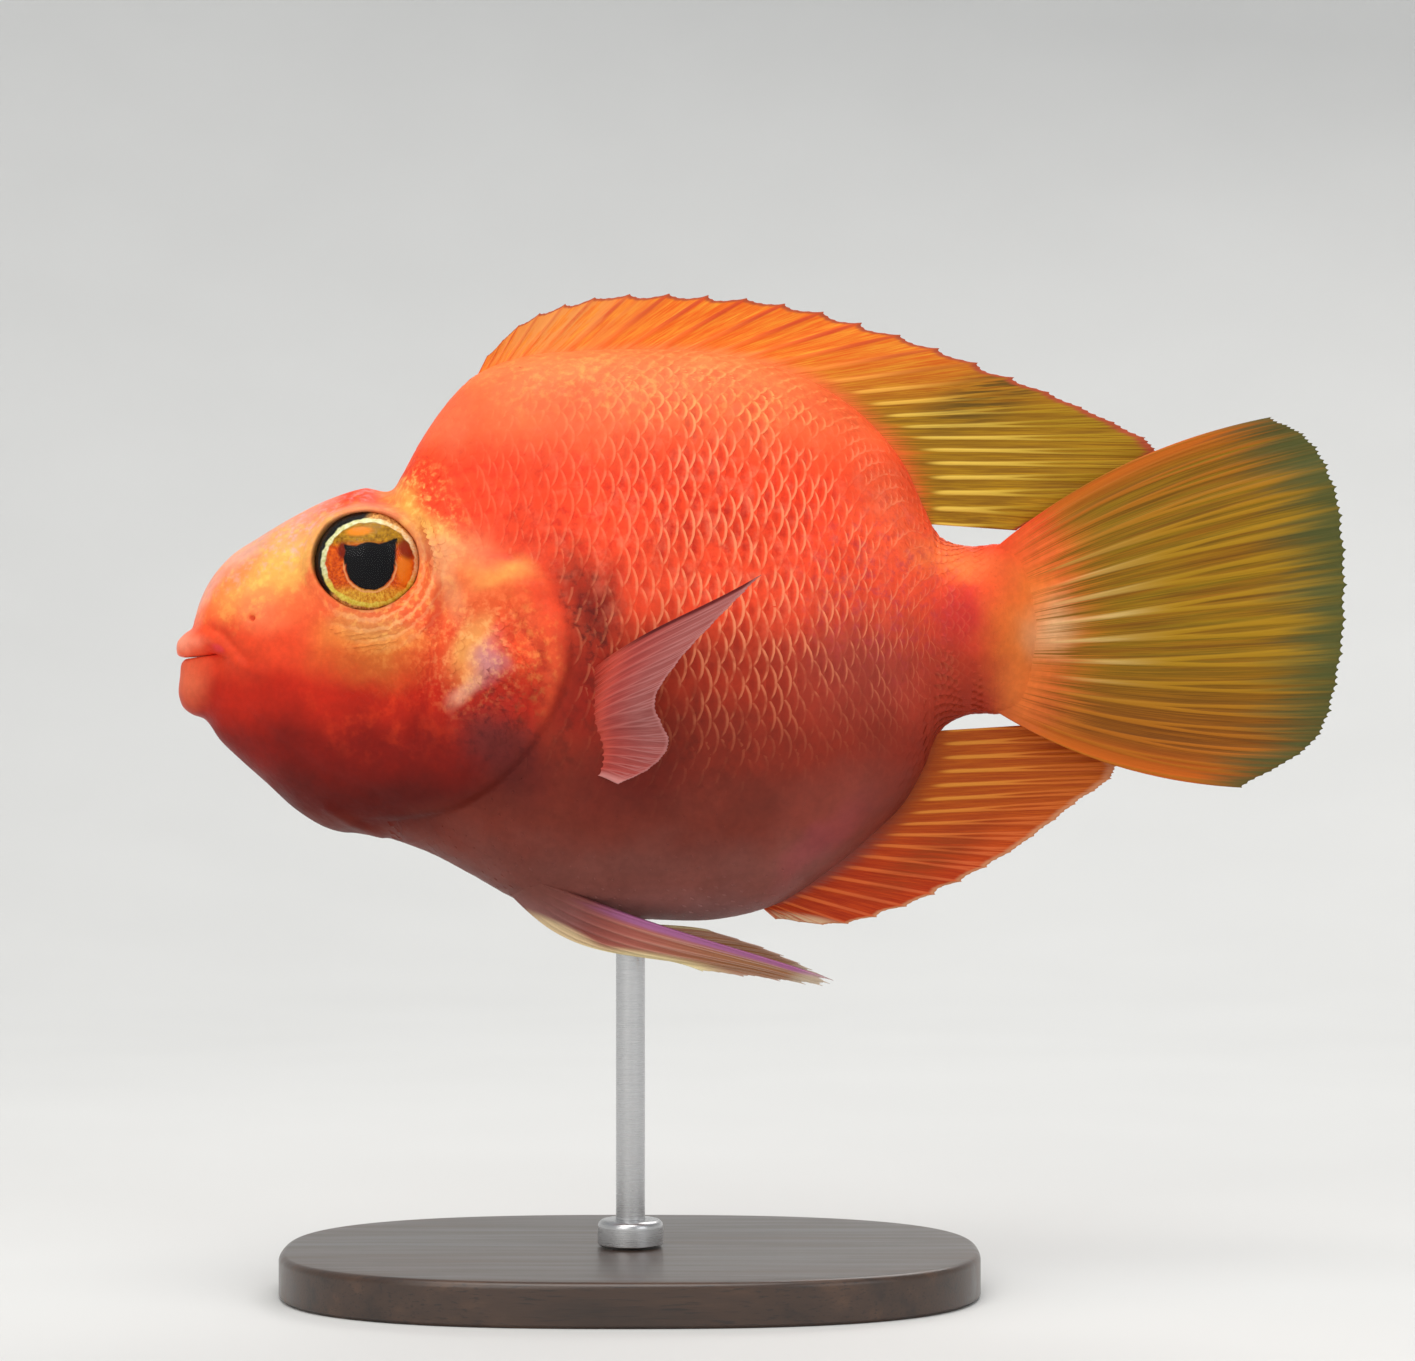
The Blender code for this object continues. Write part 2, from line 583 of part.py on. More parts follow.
def trunk_and_stem(swell=0.0):
    """The trunk and the tail stem with the gap between them, still whole at the gill edge."""
    trunk = flesh("trunk", TRUNK_LOFT_START, STEM_CUT - GAP / 2, TRUNK_STEPS, swell)
    stem = flesh("tail_stem", STEM_CUT + GAP / 2, STATIONS[-1][2][0], STEM_STEPS, swell)
    return trunk, stem


def make_trunk():
    """The trunk from the gill edge back, and the tail stem behind it."""
    trunk, _ = trunk_and_stem()
    cut(trunk, head_region(GAP / 2))


def cut_to_body(obj):
    """Cuts a fin or a rod back to the gap round the body."""
    bridge = flesh("bridge", STEM_CUT - 2.0, STEM_CUT + 2.0, 2, GAP)
    cut(obj, *trunk_and_stem(GAP), bridge)


def ray_columns(count):
    """Places across a fin, from 0 to 1, each with 1 on a ray and 0 on the membrane beside it."""
    columns = []
    for i in range(count):
        for side in (-1, 0, 1):
            place = i + side * RIDGE_SHARE
            if 0 <= place <= count - 1:
                columns.append((place / (count - 1), 1.0 - abs(side)))
    return columns


def fin_grid(surface, count, notch):
    """The middle sheet of a fin as a grid of points, and which of its columns are rays."""
    columns = ray_columns(count)
    steps = np.linspace(0, 1, FIN_STEPS + 1)
    sheet = [surface(s, steps * (1 - notch(s) * (1 - ray))) for s, ray in columns]
    return np.array(sheet), np.array([ray for _, ray in columns]), steps


def fin(name, surface, count, notch=lambda s: 0.0, root_half=ROOT_HALF):
    """A fin: a thin membrane that follows its surface, with each ray raised on both faces."""
    sheet, rays, steps = fin_grid(surface, count, notch)
    normals = np.cross(np.gradient(sheet, axis=0), np.gradient(sheet, axis=1))
    normals /= np.maximum(np.linalg.norm(normals, axis=-1, keepdims=True), 1e-9)
    membrane = MEMBRANE + (root_half - MEMBRANE) * (1 - steps) ** 3
    half = membrane[None, :] + RAY_RISE * rays[:, None] * (1 - RISE_LOSS * steps[None, :])
    front, back = sheet - normals * half[..., None], sheet + normals * half[..., None]
    wide, tall = sheet.shape[:2]
    vertices = np.vstack([front.reshape(-1, 3), back.reshape(-1, 3)])
    shift, faces = wide * tall, []
    for i in range(wide - 1):
        for j in range(tall - 1):
            a, b = i * tall + j, (i + 1) * tall + j
            for corners in ((a, b, b + 1), (a, b + 1, a + 1)):
                faces.append(corners)
                faces.append(tuple(shift + corner for corner in reversed(corners)))
    rim = [i * tall for i in range(wide)]
    rim += [(wide - 1) * tall + j for j in range(1, tall)]
    rim += [i * tall + tall - 1 for i in range(wide - 2, -1, -1)]
    rim += [j for j in range(tall - 2, 0, -1)]
    for a, b in zip(rim, rim[1:] + rim[:1]):
        faces.append((a, shift + a, shift + b))
        faces.append((a, shift + b, b))
    return mesh_object(name, vertices, faces, "fin")


def flat_fin(control, lean, bow=0.0, sink=ROOT_SINK):
    """The surface of a fin near the middle plane, from its control rays in side view.

    The bow bends the first ray upwards and the last ray downwards by that share of its length."""
    control = np.array(control, float)
    places = np.linspace(0, 1, len(control))

    def surface(s, steps):
        row = smooth(places, control, np.array([s]))[0]
        root, tip = row[:2], row[2:]
        run = tip - root
        run_length = np.linalg.norm(run)
        start = root - run / run_length * sink
        path = start + np.outer(steps, tip - start)
        across = np.array([-run[1], run[0]])
        path = path + np.outer(4 * steps * (1 - steps), across * bow * (1 - 2 * s))
        return np.stack([path[:, 0], lean(path[:, 0], path[:, 1]), path[:, 1]], axis=1)

    return surface


def spread_fin(control):
    """The surface of a paired fin, from its control rays in space, each with the bow that
    it sags by a third of the way out."""
    control = np.array(control, float)
    places = np.linspace(0, 1, len(control))

    def surface(s, steps):
        row = smooth(places, control, np.array([s]))[0]
        root, tip, bow = row[:3], row[3:6], row[6]
        path = root + np.outer(steps, tip - root)
        sag = 6.75 * steps * (1 - steps) ** 2 * bow * np.linalg.norm(tip - root)
        return path - np.outer(sag, (0.0, 0.0, 1.0))

    return surface


def dorsal_lean(x, h):
    return DORSAL_LEAN * ease(96.0, 134.0, x)


def tail_lean(x, h):
    return -TAIL_LEAN * np.clip((x - 113.0) / (TOTAL_LENGTH - 113.0), 0, 1) ** 2


def anal_lean(x, h):
    return ANAL_LEAN * ease(98.0, 124.0, x)


def spiny_notch(name):
    """The dips between ray tips, deeper over the share of the fin that has spines."""
    share = SPINE_COUNTS[name] / RAY_COUNTS[name]
    change = SOFT_NOTCH - SPINE_NOTCH
    return lambda s: SPINE_NOTCH + change * float(ease(share - 0.08, share + 0.08, s))


def make_middle_fins():
    """The dorsal, anal and tail fins, cut back to the body."""
    dorsal = fin(
        "dorsal_fin", flat_fin(DORSAL_RAYS, dorsal_lean), RAY_COUNTS["dorsal_fin"],
        spiny_notch("dorsal_fin"),
    )
    cut_to_body(dorsal)
    anal = fin(
        "anal_fin", flat_fin(ANAL_RAYS, anal_lean), RAY_COUNTS["anal_fin"],
        spiny_notch("anal_fin"),
    )
    cut_to_body(anal)
    tail = fin(
        "tail_fin", flat_fin(TAIL_RAYS, tail_lean, TAIL_BOW, TAIL_SINK), RAY_COUNTS["tail_fin"],
        lambda s: TAIL_NOTCH, TAIL_ROOT_HALF,
    )
    cut_to_body(tail)


def pectoral_surface(side):
    """The surface of a pectoral fin, rooted in the flank."""
    rows = []
    for x, h, tip_x, tip_out, tip_h in PECTORAL_RAYS:
        skin, normal = on_flank(x, h, side)
        root = skin - normal * PECTORAL_SINK
        rows.append((*root, tip_x, skin[1] + side * tip_out, tip_h, PECTORAL_BOW))
    return spread_fin(rows)


def pelvic_surface(side):
    """The surface of a pelvic fin, rooted in the belly beside the middle line."""
    rows = []
    for x, y, tip_x, tip_y, tip_h, bow in PELVIC_RAYS[side]:
        skin, normal = on_belly(x, side * y)
        rows.append((*(skin - normal * PELVIC_SINK), tip_x, side * tip_y, tip_h, bow))
    return spread_fin(rows)


def make_paired_fins():
    """The pectoral and pelvic fins, left and right."""
    for side, word in ((LEFT, "left"), (RIGHT, "right")):
        pectoral = fin(
            f"pectoral_fin_{word}", pectoral_surface(side), RAY_COUNTS["pectoral_fin"],
            lambda s: PECTORAL_NOTCH, PAIRED_ROOT_HALF,
        )
        cut_to_body(pectoral)
        pelvic = fin(
            f"pelvic_fin_{word}", pelvic_surface(side), RAY_COUNTS["pelvic_fin"],
            lambda s: PELVIC_NOTCH, PAIRED_ROOT_HALF,
        )
        cut_to_body(pelvic)


def oval(half_length, half_width, count):
    """Points round a superellipse, as fractions of its roundness."""
    angles = 2 * math.pi * np.arange(count) / count
    power = 2 / BASE_ROUND
    x = half_length * np.sign(np.cos(angles)) * np.abs(np.cos(angles)) ** power
    y = half_width * np.sign(np.sin(angles)) * np.abs(np.sin(angles)) ** power
    return np.stack([x, y], axis=1)


def make_stand():
    """An oval base, a collar on it and one rod up to the belly."""
    floor, foot = -AXIS_HEIGHT, np.array((STAND_X, 0.0, BASE_HEIGHT + GAP - AXIS_HEIGHT))
    rings = []
    for inset, level in ((0.0, 0.0), (0.0, BASE_HEIGHT - BASE_BEVEL), (BASE_BEVEL, BASE_HEIGHT)):
        edge = oval(BASE_LENGTH / 2 - inset, BASE_WIDTH / 2 - inset, BASE_CORNERS)
        height = np.full(len(edge), floor + level)
        rings.append(np.column_stack([edge[:, 0] + STAND_X, edge[:, 1], height]))
    mesh_object("stand_base", *closed_grid(np.array(rings)), "base")
    upright = np.eye(3)
    hole = ROD_RADIUS + GAP
    collar = [
        (COLLAR_RADIUS, 0.0), (COLLAR_RADIUS, COLLAR_HEIGHT - BASE_BEVEL),
        (COLLAR_RADIUS - BASE_BEVEL, COLLAR_HEIGHT), (hole, COLLAR_HEIGHT), (hole, 0.0),
    ]
    closed_ring("stand_collar", collar, foot, upright, ROD_SIDES, "steel")
    rod = [(ROD_RADIUS, 0.0), (ROD_RADIUS, ROD_TOP - foot[2])]
    cut_to_body(turned("stand_rod", rod, foot, upright, ROD_SIDES, "steel"))


def main():
    for old in list(bpy.data.objects):
        bpy.data.objects.remove(old)
    make_head()
    make_trunk()
    make_middle_fins()
    make_paired_fins()
    make_stand()
    for obj in bpy.context.scene.collection.objects:
        obj.data.shade_smooth()
        obj.data.set_sharp_from_angle(angle=math.radians(35))


main()
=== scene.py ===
import math

import bpy
import numpy as np
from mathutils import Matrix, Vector
from mathutils.bvhtree import BVHTree


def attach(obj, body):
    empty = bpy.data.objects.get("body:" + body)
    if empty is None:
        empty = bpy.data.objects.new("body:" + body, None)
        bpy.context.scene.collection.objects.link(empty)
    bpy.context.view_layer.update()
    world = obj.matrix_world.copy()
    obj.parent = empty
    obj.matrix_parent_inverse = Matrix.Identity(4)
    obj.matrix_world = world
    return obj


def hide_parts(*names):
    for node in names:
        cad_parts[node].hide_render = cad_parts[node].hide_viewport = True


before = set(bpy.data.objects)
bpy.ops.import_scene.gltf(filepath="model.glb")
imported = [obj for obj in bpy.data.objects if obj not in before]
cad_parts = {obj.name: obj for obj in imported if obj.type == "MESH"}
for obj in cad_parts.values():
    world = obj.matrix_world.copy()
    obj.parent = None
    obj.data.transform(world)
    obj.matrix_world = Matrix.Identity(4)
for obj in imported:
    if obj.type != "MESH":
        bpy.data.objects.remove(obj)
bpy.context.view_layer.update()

# Skin. The fish's skin in one piece from the lips to the tail stem, cast in resin over the body
# and painted, with its mouth, nostrils, orbits and gill covers modelled in it.
# Sizes are in millimetres: x from the snout's tip to the tail, h above the tail stem's middle
# line, and y sideways, with the left flank at -y.

MM = 0.001
TOTAL_LENGTH, AXIS_HEIGHT = 160.0, 91.0
LEFT, RIGHT = -1, 1
SIDES = ((LEFT, "left"), (RIGHT, "right"))

# Stations from inside the mouth to the end of the tail stem.
# Each is the back (x, h), the underside (x, h) and the flank (x, h, half width).
STATIONS = (
    ((6.0, -3.9), (6.0, -4.3), (6.0, -4.1, 0.0)),  # inside the mouth
    ((3.8, -3.5), (3.8, -4.7), (6.0, -4.0, 2.4)),
    ((1.7, -3.7), (1.8, -4.4), (6.3, -3.7, 4.2)),
    ((0.75, -3.95), (0.9, -4.15), (6.2, -3.5, 4.8)),  # edge of the lips
    ((-0.05, -3.75), (0.3, -4.7), (6.1, -3.45, 5.05)),
    ((-0.4, -2.9), (0.05, -6.6), (6.1, -3.45, 5.3)),  # their crests
    ((-0.15, -1.6), (-0.15, -8.5), (6.3, -3.6, 5.6)),
    ((0.8, -0.6), (0.0, -9.6), (6.5, -3.9, 5.9)),
    ((1.75, 0.1), (0.5, -10.8), (6.8, -4.0, 6.2)),  # dip above the upper lip
    ((2.15, 1.4), (1.6, -11.7), (7.1, -4.1, 6.5)),
    ((2.8, 3.6), (3.4, -12.4), (7.5, -4.1, 6.9)),  # chin
    ((4.3, 6.7), (5.6, -15.3), (8.2, -3.9, 7.5)),
    ((7.0, 9.9), (8.5, -18.1), (9.7, -3.4, 8.5)),
    ((11.0, 12.6), (12.0, -21.2), (12.5, -3.0, 9.9)),
    ((15.7, 15.4), (16.1, -24.9), (16.3, -3.0, 11.5)),
    ((20.6, 17.8), (20.6, -27.5), (20.8, -3.2, 13.0)),  # forehead and throat
    ((25.3, 19.3), (25.3, -28.4), (25.3, -3.6, 14.3)),
    ((29.8, 19.6), (29.9, -29.2), (29.9, -4.0, 15.4)),  # nape
    ((31.3, 22.6), (31.2, -29.7), (31.2, -4.0, 15.7)),
    ((34.6, 28.3), (34.6, -31.0), (34.6, -4.0, 16.4)),
    ((40.1, 34.6), (40.1, -33.9), (40.1, -3.5, 17.4)),
    ((47.0, 37.5), (47.0, -37.6), (47.0, -2.5, 18.3)),  # front of the dorsal fin
    ((55.2, 38.4), (55.2, -39.5), (55.2, -1.5, 18.8)),
    ((64.8, 38.6), (64.8, -40.1), (64.8, -1.0, 18.5)),
    ((74.4, 38.0), (74.4, -40.0), (74.4, -0.5, 17.2)),
    ((82.7, 35.9), (82.7, -37.7), (82.7, 0.0, 15.2)),  # vent
    ((89.5, 32.8), (89.5, -33.2), (89.5, 0.0, 12.9)),
    ((95.7, 27.9), (95.7, -28.1), (95.7, 0.0, 10.3)),
    ((99.8, 22.6), (99.8, -23.9), (99.8, 0.0, 8.4)),
    ((102.6, 16.5), (102.6, -18.9), (102.6, 0.0, 7.1)),
    ((104.9, 12.5), (104.7, -13.9), (104.8, 0.0, 6.2)),
    ((108.8, 11.5), (108.6, -11.9), (108.7, 0.0, 5.1)),  # tail stem
    ((113.3, 11.7), (113.3, -11.7), (113.3, 0.0, 3.6)),
    ((115.9, 10.6), (115.9, -10.6), (116.4, 0.0, 1.9)),
    ((117.4, 8.6), (117.4, -8.6), (118.6, 0.0, 0.5)),  # in the tail fin's root
)
BROW_ROUND, BACK_ROUND, BELLY_ROUND = 2.3, 1.8, 2.1
BROW_END, BACK_START = 24.0, 42.0
ROUND_STEPS = 288
# Spacing of the rings, from the distance along the body at which it starts
RING_SPACING = ((0.0, 0.35), (4.0, 0.17), (15.0, 0.26), (66.0, 0.34), (78.0, 0.9), (200.0, 0.9))

GILL_EDGE = (
    (28.6, 24.5), (31.3, 19.2), (36.0, 14.2), (41.0, 10.0), (46.5, 8.4), (50.6, 6.2), (53.2, 1.2),
    (53.8, -3.4), (52.4, -8.8), (49.4, -14.4), (44.6, -19.8), (38.4, -23.6), (31.0, -25.2),
    (25.0, -26.0), (21.5, -29.5),
)
GILL_RISE, GILL_REACH, GILL_DROP = 0.5, 7.0, 1.2
SCALE_DEPTH = 0.14  # how far the skin lies under the scales' outer face

# Folds in side view: the line (x, h), half width and height, with creases below zero
FOLDS = (
    (((5.2, 0.1), (6.6, -0.6), (8.3, -2.5), (10.3, -4.5)), 0.8, -0.34),  # over the lip
    (((2.2, -1.5), (4.7, -1.4), (7.0, -2.7), (9.5, -4.9), (12.2, -6.2)), 1.1, 0.34),  # jaw bone
    (((5.8, -4.6), (6.6, -6.0), (6.2, -8.0), (5.2, -10.0)), 1.0, -0.1),  # lower lip
    (((3.0, -6.2), (4.0, -8.4), (3.6, -10.8)), 0.6, -0.06),
    (((38.4, 5.4), (37.0, 2.4), (35.8, -3.0), (34.8, -9.0), (33.2, -15.0)), 1.2, -0.34),
    (((40.6, 3.0), (39.0, -3.0), (37.8, -9.0), (36.4, -14.5)), 1.2, 0.28),  # rim of the cheek plate
    (((10.4, -11.9), (14.0, -15.0), (21.0, -19.6), (28.0, -22.6)), 1.0, -0.14),
    (((40.0, 7.4), (45.0, 6.9), (50.0, 5.0)), 1.6, 0.22),  # upper edge of the gill cover
    (((21.0, -24.4), (24.0, -26.4), (28.0, -28.6)), 0.7, 0.35),  # gill membrane at the throat
    (((27.5, 17.6), (31.0, 16.0), (36.0, 13.0)), 1.2, -0.3),  # back of the skull
    (((34.6, 12.0), (36.2, 8.0), (36.4, 3.0), (35.0, -0.5)), 0.7, -0.25),  # behind the eye
    (((41.0, 2.5), (43.0, -1.0), (43.5, -6.0), (42.0, -11.0)), 0.8, -0.16),  # on the gill cover
    (((46.0, 4.0), (47.6, 0.6), (49.6, -2.4), (51.4, -5.6)), 0.8, -0.3),
    (((45.0, 0.0), (47.0, -3.4), (49.6, -6.6), (50.6, -9.6)), 0.8, 0.26),
    (((43.6, -6.0), (46.0, -8.4), (48.6, -10.6), (48.0, -13.4)), 0.8, -0.28),
    (((40.0, -12.5), (41.5, -16.0), (40.5, -20.0)), 0.7, -0.2),
    (((44.4, -12.4), (44.6, -15.6), (42.6, -19.0)), 0.6, -0.18),
    (((15.0, -0.5), (19.0, -2.6), (25.0, -3.4), (31.0, -2.0)), 1.6, 0.25),  # under the eye
    (((22.0, 0.6), (27.0, -0.1), (32.4, 1.8), (35.2, 6.0), (35.6, 10.6), (33.8, 14.6)), 0.4, -0.24),
    (((25.0, -1.7), (30.6, -1.0), (34.8, 1.6), (37.0, 6.0)), 0.4, -0.2),
)
NOSTRIL_AT, NOSTRIL_RADIUS, NOSTRIL_DEPTH = (10.9, 1.4), 0.5, 0.55

EYE_AT, EYE_RADIUS, EYE_DEPTH, EYE_SINK, EYE_LEVEL = (26.8, 8.9), 7.3, 5.2, 2.1, 0.7
ORBIT_RADIUS, ORBIT_TOP, ORBIT_FLOOR = 7.4, 1.6, -0.4
ORBIT_CROWD = 2.4  # rings of points are drawn towards the orbit's edge from this far off
LID_UNDER, LID_BEHIND, LID_OVER, LID_RISE = 0.95, 0.45, 0.7, 0.9  # how far the lid comes in, and its rise


def placed(points):
    """Points from the fish's millimetres to the shared frame in metres."""
    return (np.asarray(points, float) + (-TOTAL_LENGTH / 2, 0.0, AXIS_HEIGHT)) * MM


def smooth(knots, values, at):
    """Values on the smooth curve that passes through the given values at the knots."""
    knots, values, at = (np.asarray(part, float) for part in (knots, values, at))
    step = np.diff(knots)[:, None]
    rise = np.diff(values, axis=0) / step
    inner = (rise[:-1] * step[1:] + rise[1:] * step[:-1]) / (step[:-1] + step[1:])
    slope = np.vstack([rise[:1], inner, rise[-1:]])
    i = np.clip(np.searchsorted(knots, at, side="right") - 1, 0, len(knots) - 2)
    width = (knots[i + 1] - knots[i])[..., None]
    t = (at - knots[i])[..., None] / width
    return (
        (2 * t**3 - 3 * t**2 + 1) * values[i]
        + (t**3 - 2 * t**2 + t) * width * slope[i]
        + (3 * t**2 - 2 * t**3) * values[i + 1]
        + (t**3 - t**2) * width * slope[i + 1]
    )


def ease(low, high, value):
    """0 below low, 1 above high, and a smooth step between."""
    t = np.clip((np.asarray(value, float) - low) / (high - low), 0, 1)
    return t * t * (3 - 2 * t)


STATION_ROWS = np.array([[*back, *under, *flank] for back, under, flank in STATIONS])
STATION_LINES = (STATION_ROWS[:, 0:2], STATION_ROWS[:, 2:4], STATION_ROWS[:, 4:7])
STATION_STEPS = np.mean(
    [np.linalg.norm(np.diff(line, axis=0), axis=1) for line in STATION_LINES], axis=0
)
KNOTS = np.concatenate([[0.0], np.cumsum(STATION_STEPS)])


def along_at(x):
    """Distance along the body where the flank line reaches x, behind the mouth."""
    fine = np.linspace(KNOTS[8], KNOTS[-1], 3000)
    return np.interp(x, smooth(KNOTS, STATION_ROWS, fine)[:, 4], fine)


def body_points(along, angles):
    """Skin points (x, y, h) at distances along the body and angles from the back."""
    along, angles = np.broadcast_arrays(along, angles)
    rows = smooth(KNOTS, STATION_ROWS, along)
    cosine, sine = np.cos(angles), np.sin(angles)
    back_share = ease(BROW_END, BACK_START, rows[..., 4])
    top_round = BROW_ROUND + (BACK_ROUND - BROW_ROUND) * back_share
    exponent = 2 / np.where(cosine > 0, top_round, BELLY_ROUND)
    reach = np.abs(cosine) ** exponent
    edge_x = np.where(cosine > 0, rows[..., 0], rows[..., 2])
    edge_h = np.where(cosine > 0, rows[..., 1], rows[..., 3])
    x = rows[..., 4] + (edge_x - rows[..., 4]) * reach
    h = rows[..., 5] + (edge_h - rows[..., 5]) * reach
    y = np.maximum(rows[..., 6], 0) * np.sign(sine) * np.abs(sine) ** exponent
    return np.stack([x, y, h], axis=-1)


def grid_normals(grid):
    """Outward normals of a grid of points that closes round its second axis."""
    lengthways = np.gradient(grid, axis=0)
    round_it = np.roll(grid, -1, axis=1) - np.roll(grid, 1, axis=1)
    normals = np.cross(lengthways, round_it)
    return normals / np.maximum(np.linalg.norm(normals, axis=-1, keepdims=True), 1e-9)


def curve_points(control, count):
    """Evenly spread points on the smooth curve through the control points."""
    control = np.asarray(control, float)
    chord = np.linalg.norm(np.diff(control[:, :2], axis=0), axis=1)
    knots = np.concatenate([[0.0], np.cumsum(chord)])
    return smooth(knots, control, np.linspace(0, knots[-1], count))


def from_line(points, line):
    """Side view distance of each point from a line, below zero on the line's left side."""
    start, run = line[:-1], np.diff(line, axis=0)
    offset = points[..., None, :] - start
    share = np.clip((offset * run).sum(-1) / (run * run).sum(-1), 0, 1)
    apart = np.linalg.norm(offset - share[..., None] * run, axis=-1)
    nearest = apart.argmin(-1)[..., None]
    side = run[:, 0] * offset[..., 1] - run[:, 1] * offset[..., 0]
    distance = np.take_along_axis(apart, nearest, -1)[..., 0]
    return distance * np.where(np.take_along_axis(side, nearest, -1)[..., 0] > 0, 1, -1)


def behind_gill(points):
    """Side view distance of each point behind the gill edge, below zero on the head."""
    line = np.vstack([(24.0, 42.0), curve_points(GILL_EDGE, 60), (18.0, -48.0)])
    return from_line(points[..., [0, 2]], line)


def fold_relief(points):
    """How far the folds, creases and nostrils raise or sink the skin."""
    side_view = points[..., [0, 2]]
    rise = np.zeros(points.shape[:-1])
    for line, width, height in FOLDS:
        distance = np.abs(from_line(side_view, curve_points(line, 14)))
        rise += height * np.exp(-((distance / width) ** 2))
    rise *= ease(0.6, 3.0, np.abs(points[..., 1]))
    hole = np.linalg.norm(side_view - NOSTRIL_AT, axis=-1)
    rise -= NOSTRIL_DEPTH * (1 - ease(NOSTRIL_RADIUS * 0.5, NOSTRIL_RADIUS * 1.3, hole))
    rise += 0.1 * np.exp(-(((hole - NOSTRIL_RADIUS * 1.9) / 0.4) ** 2))
    return rise


def gill_relief(points):
    """How far the gill cover stands out towards its rear edge, with a quick drop behind."""
    behind = behind_gill(points)
    cover = ease(24.0, 38.0, points[..., 0]) * (1 - ease(9.0, 14.0, points[..., 2]))
    front = 1 - ease(0.0, GILL_REACH, -behind)
    return GILL_RISE * cover * np.where(behind > 0, 1 - ease(0.0, GILL_DROP, behind), front)


def plain_tree():
    """The skin's plain form as a search tree, for setting eyes, scales and fins on it."""
    angles = 2 * math.pi * np.arange(180) / 180
    grid = body_points(np.linspace(0.2, KNOTS[-1], 320)[:, None], angles[None, :])
    return BVHTree.FromPolygons(*[list(map(tuple, part)) for part in closed_grid(grid)])


def closed_grid(grid):
    """Vertices and faces of a tube of rings, closed at both ends by a point in the middle."""
    rings, round_it = grid.shape[:2]
    vertices = np.vstack([grid.reshape(-1, 3), grid[0].mean(0), grid[-1].mean(0)])
    first, last = len(vertices) - 2, len(vertices) - 1
    j = np.arange(round_it)
    k = (j + 1) % round_it
    ring = round_it * np.arange(rings - 1)[:, None]
    walls = np.stack([ring + j, ring + k, ring + round_it + k, ring + round_it + j], axis=-1)
    end = (rings - 1) * round_it
    faces = [tuple(face) for face in walls.reshape(-1, 4).tolist()]
    faces += [(first, int(b), int(a)) for a, b in zip(j, k)]
    faces += [(last, int(end + a), int(end + b)) for a, b in zip(j, k)]
    return vertices, faces


SKIN_TREE = plain_tree()


def on_flank(x, h, side):
    """The skin's point and outward normal that a sideways line at (x, h) meets first."""
    point, normal, *_ = SKIN_TREE.ray_cast(Vector((x, side * 90.0, h)), Vector((0, -side, 0)))
    normal = normal if normal.y * side > 0 else -normal
    return np.array(point), np.array(normal)


def frame_for(axis):
    """Two unit vectors square to an axis and to each other, and the axis as a unit vector."""
    axis = np.asarray(axis, float) / np.linalg.norm(axis)
    first = np.cross((0.0, 0.0, 1.0), axis)
    first /= np.linalg.norm(first)
    return first, np.cross(axis, first), axis


def eye_frame(side):
    """Centre of an eyeball and its three directions, the last one out of the pupil."""
    point, normal = on_flank(*EYE_AT, side)
    first, second, axis = frame_for((1 - EYE_LEVEL) * normal + EYE_LEVEL * np.array((0, side, 0)))
    return point - EYE_SINK * axis, (first, second, axis)


def set_orbit(points, side):
    """Draws points to the orbit's edge, sinks its floor and raises its rim."""
    centre, (first, second, axis) = eye_frame(side)
    offset = points - centre
    across = offset @ first, offset @ second
    radius = np.hypot(*across)
    rearwards = across[0] * np.sign(first[0]) / np.maximum(radius, 1e-6)
    lid = LID_UNDER * ease(-0.1, 0.95, -across[1] / np.maximum(radius, 1e-6))
    lid = np.maximum(lid, LID_BEHIND * ease(-0.2, 0.8, rearwards))
    above = across[1] / np.maximum(radius, 1e-6) + 0.35 * rearwards
    lid = np.maximum(lid, LID_OVER * ease(0.35, 1.0, above))
    edge = ORBIT_RADIUS - lid
    off_edge = radius - edge
    share = np.clip(np.abs(off_edge) / ORBIT_CROWD, 0, 1)
    drawn = edge + np.sign(off_edge) * ORBIT_CROWD * share**1.7
    radius_now = np.where((np.abs(off_edge) < ORBIT_CROWD) & (points[..., 1] * side > 0), drawn, radius)
    ratio = radius_now / np.maximum(radius, 1e-6)
    level = offset @ axis
    top = ORBIT_TOP + LID_RISE * np.clip(lid / LID_UNDER, 0, 1)
    floor = ORBIT_FLOOR + (top - ORBIT_FLOOR) * ease(-0.45, 0.3, radius_now - edge)
    near = (1 - ease(0.35, 2.4, radius_now - edge)) * (points[..., 1] * side > 0)
    level = level + (floor - level) * near
    moved = centre + sum((part * ratio)[..., None] * way for part, way in zip(across, (first, second)))
    return moved + level[..., None] * axis


def ring_places():
    """Distances along the body of the skin's rings, closest at the mouth and on the head."""
    starts, steps = zip(*RING_SPACING)
    places = [0.12]
    while places[-1] < KNOTS[-1]:
        places.append(places[-1] + float(np.interp(places[-1], starts, steps)))
    return np.array(places[:-1] + [KNOTS[-1]])


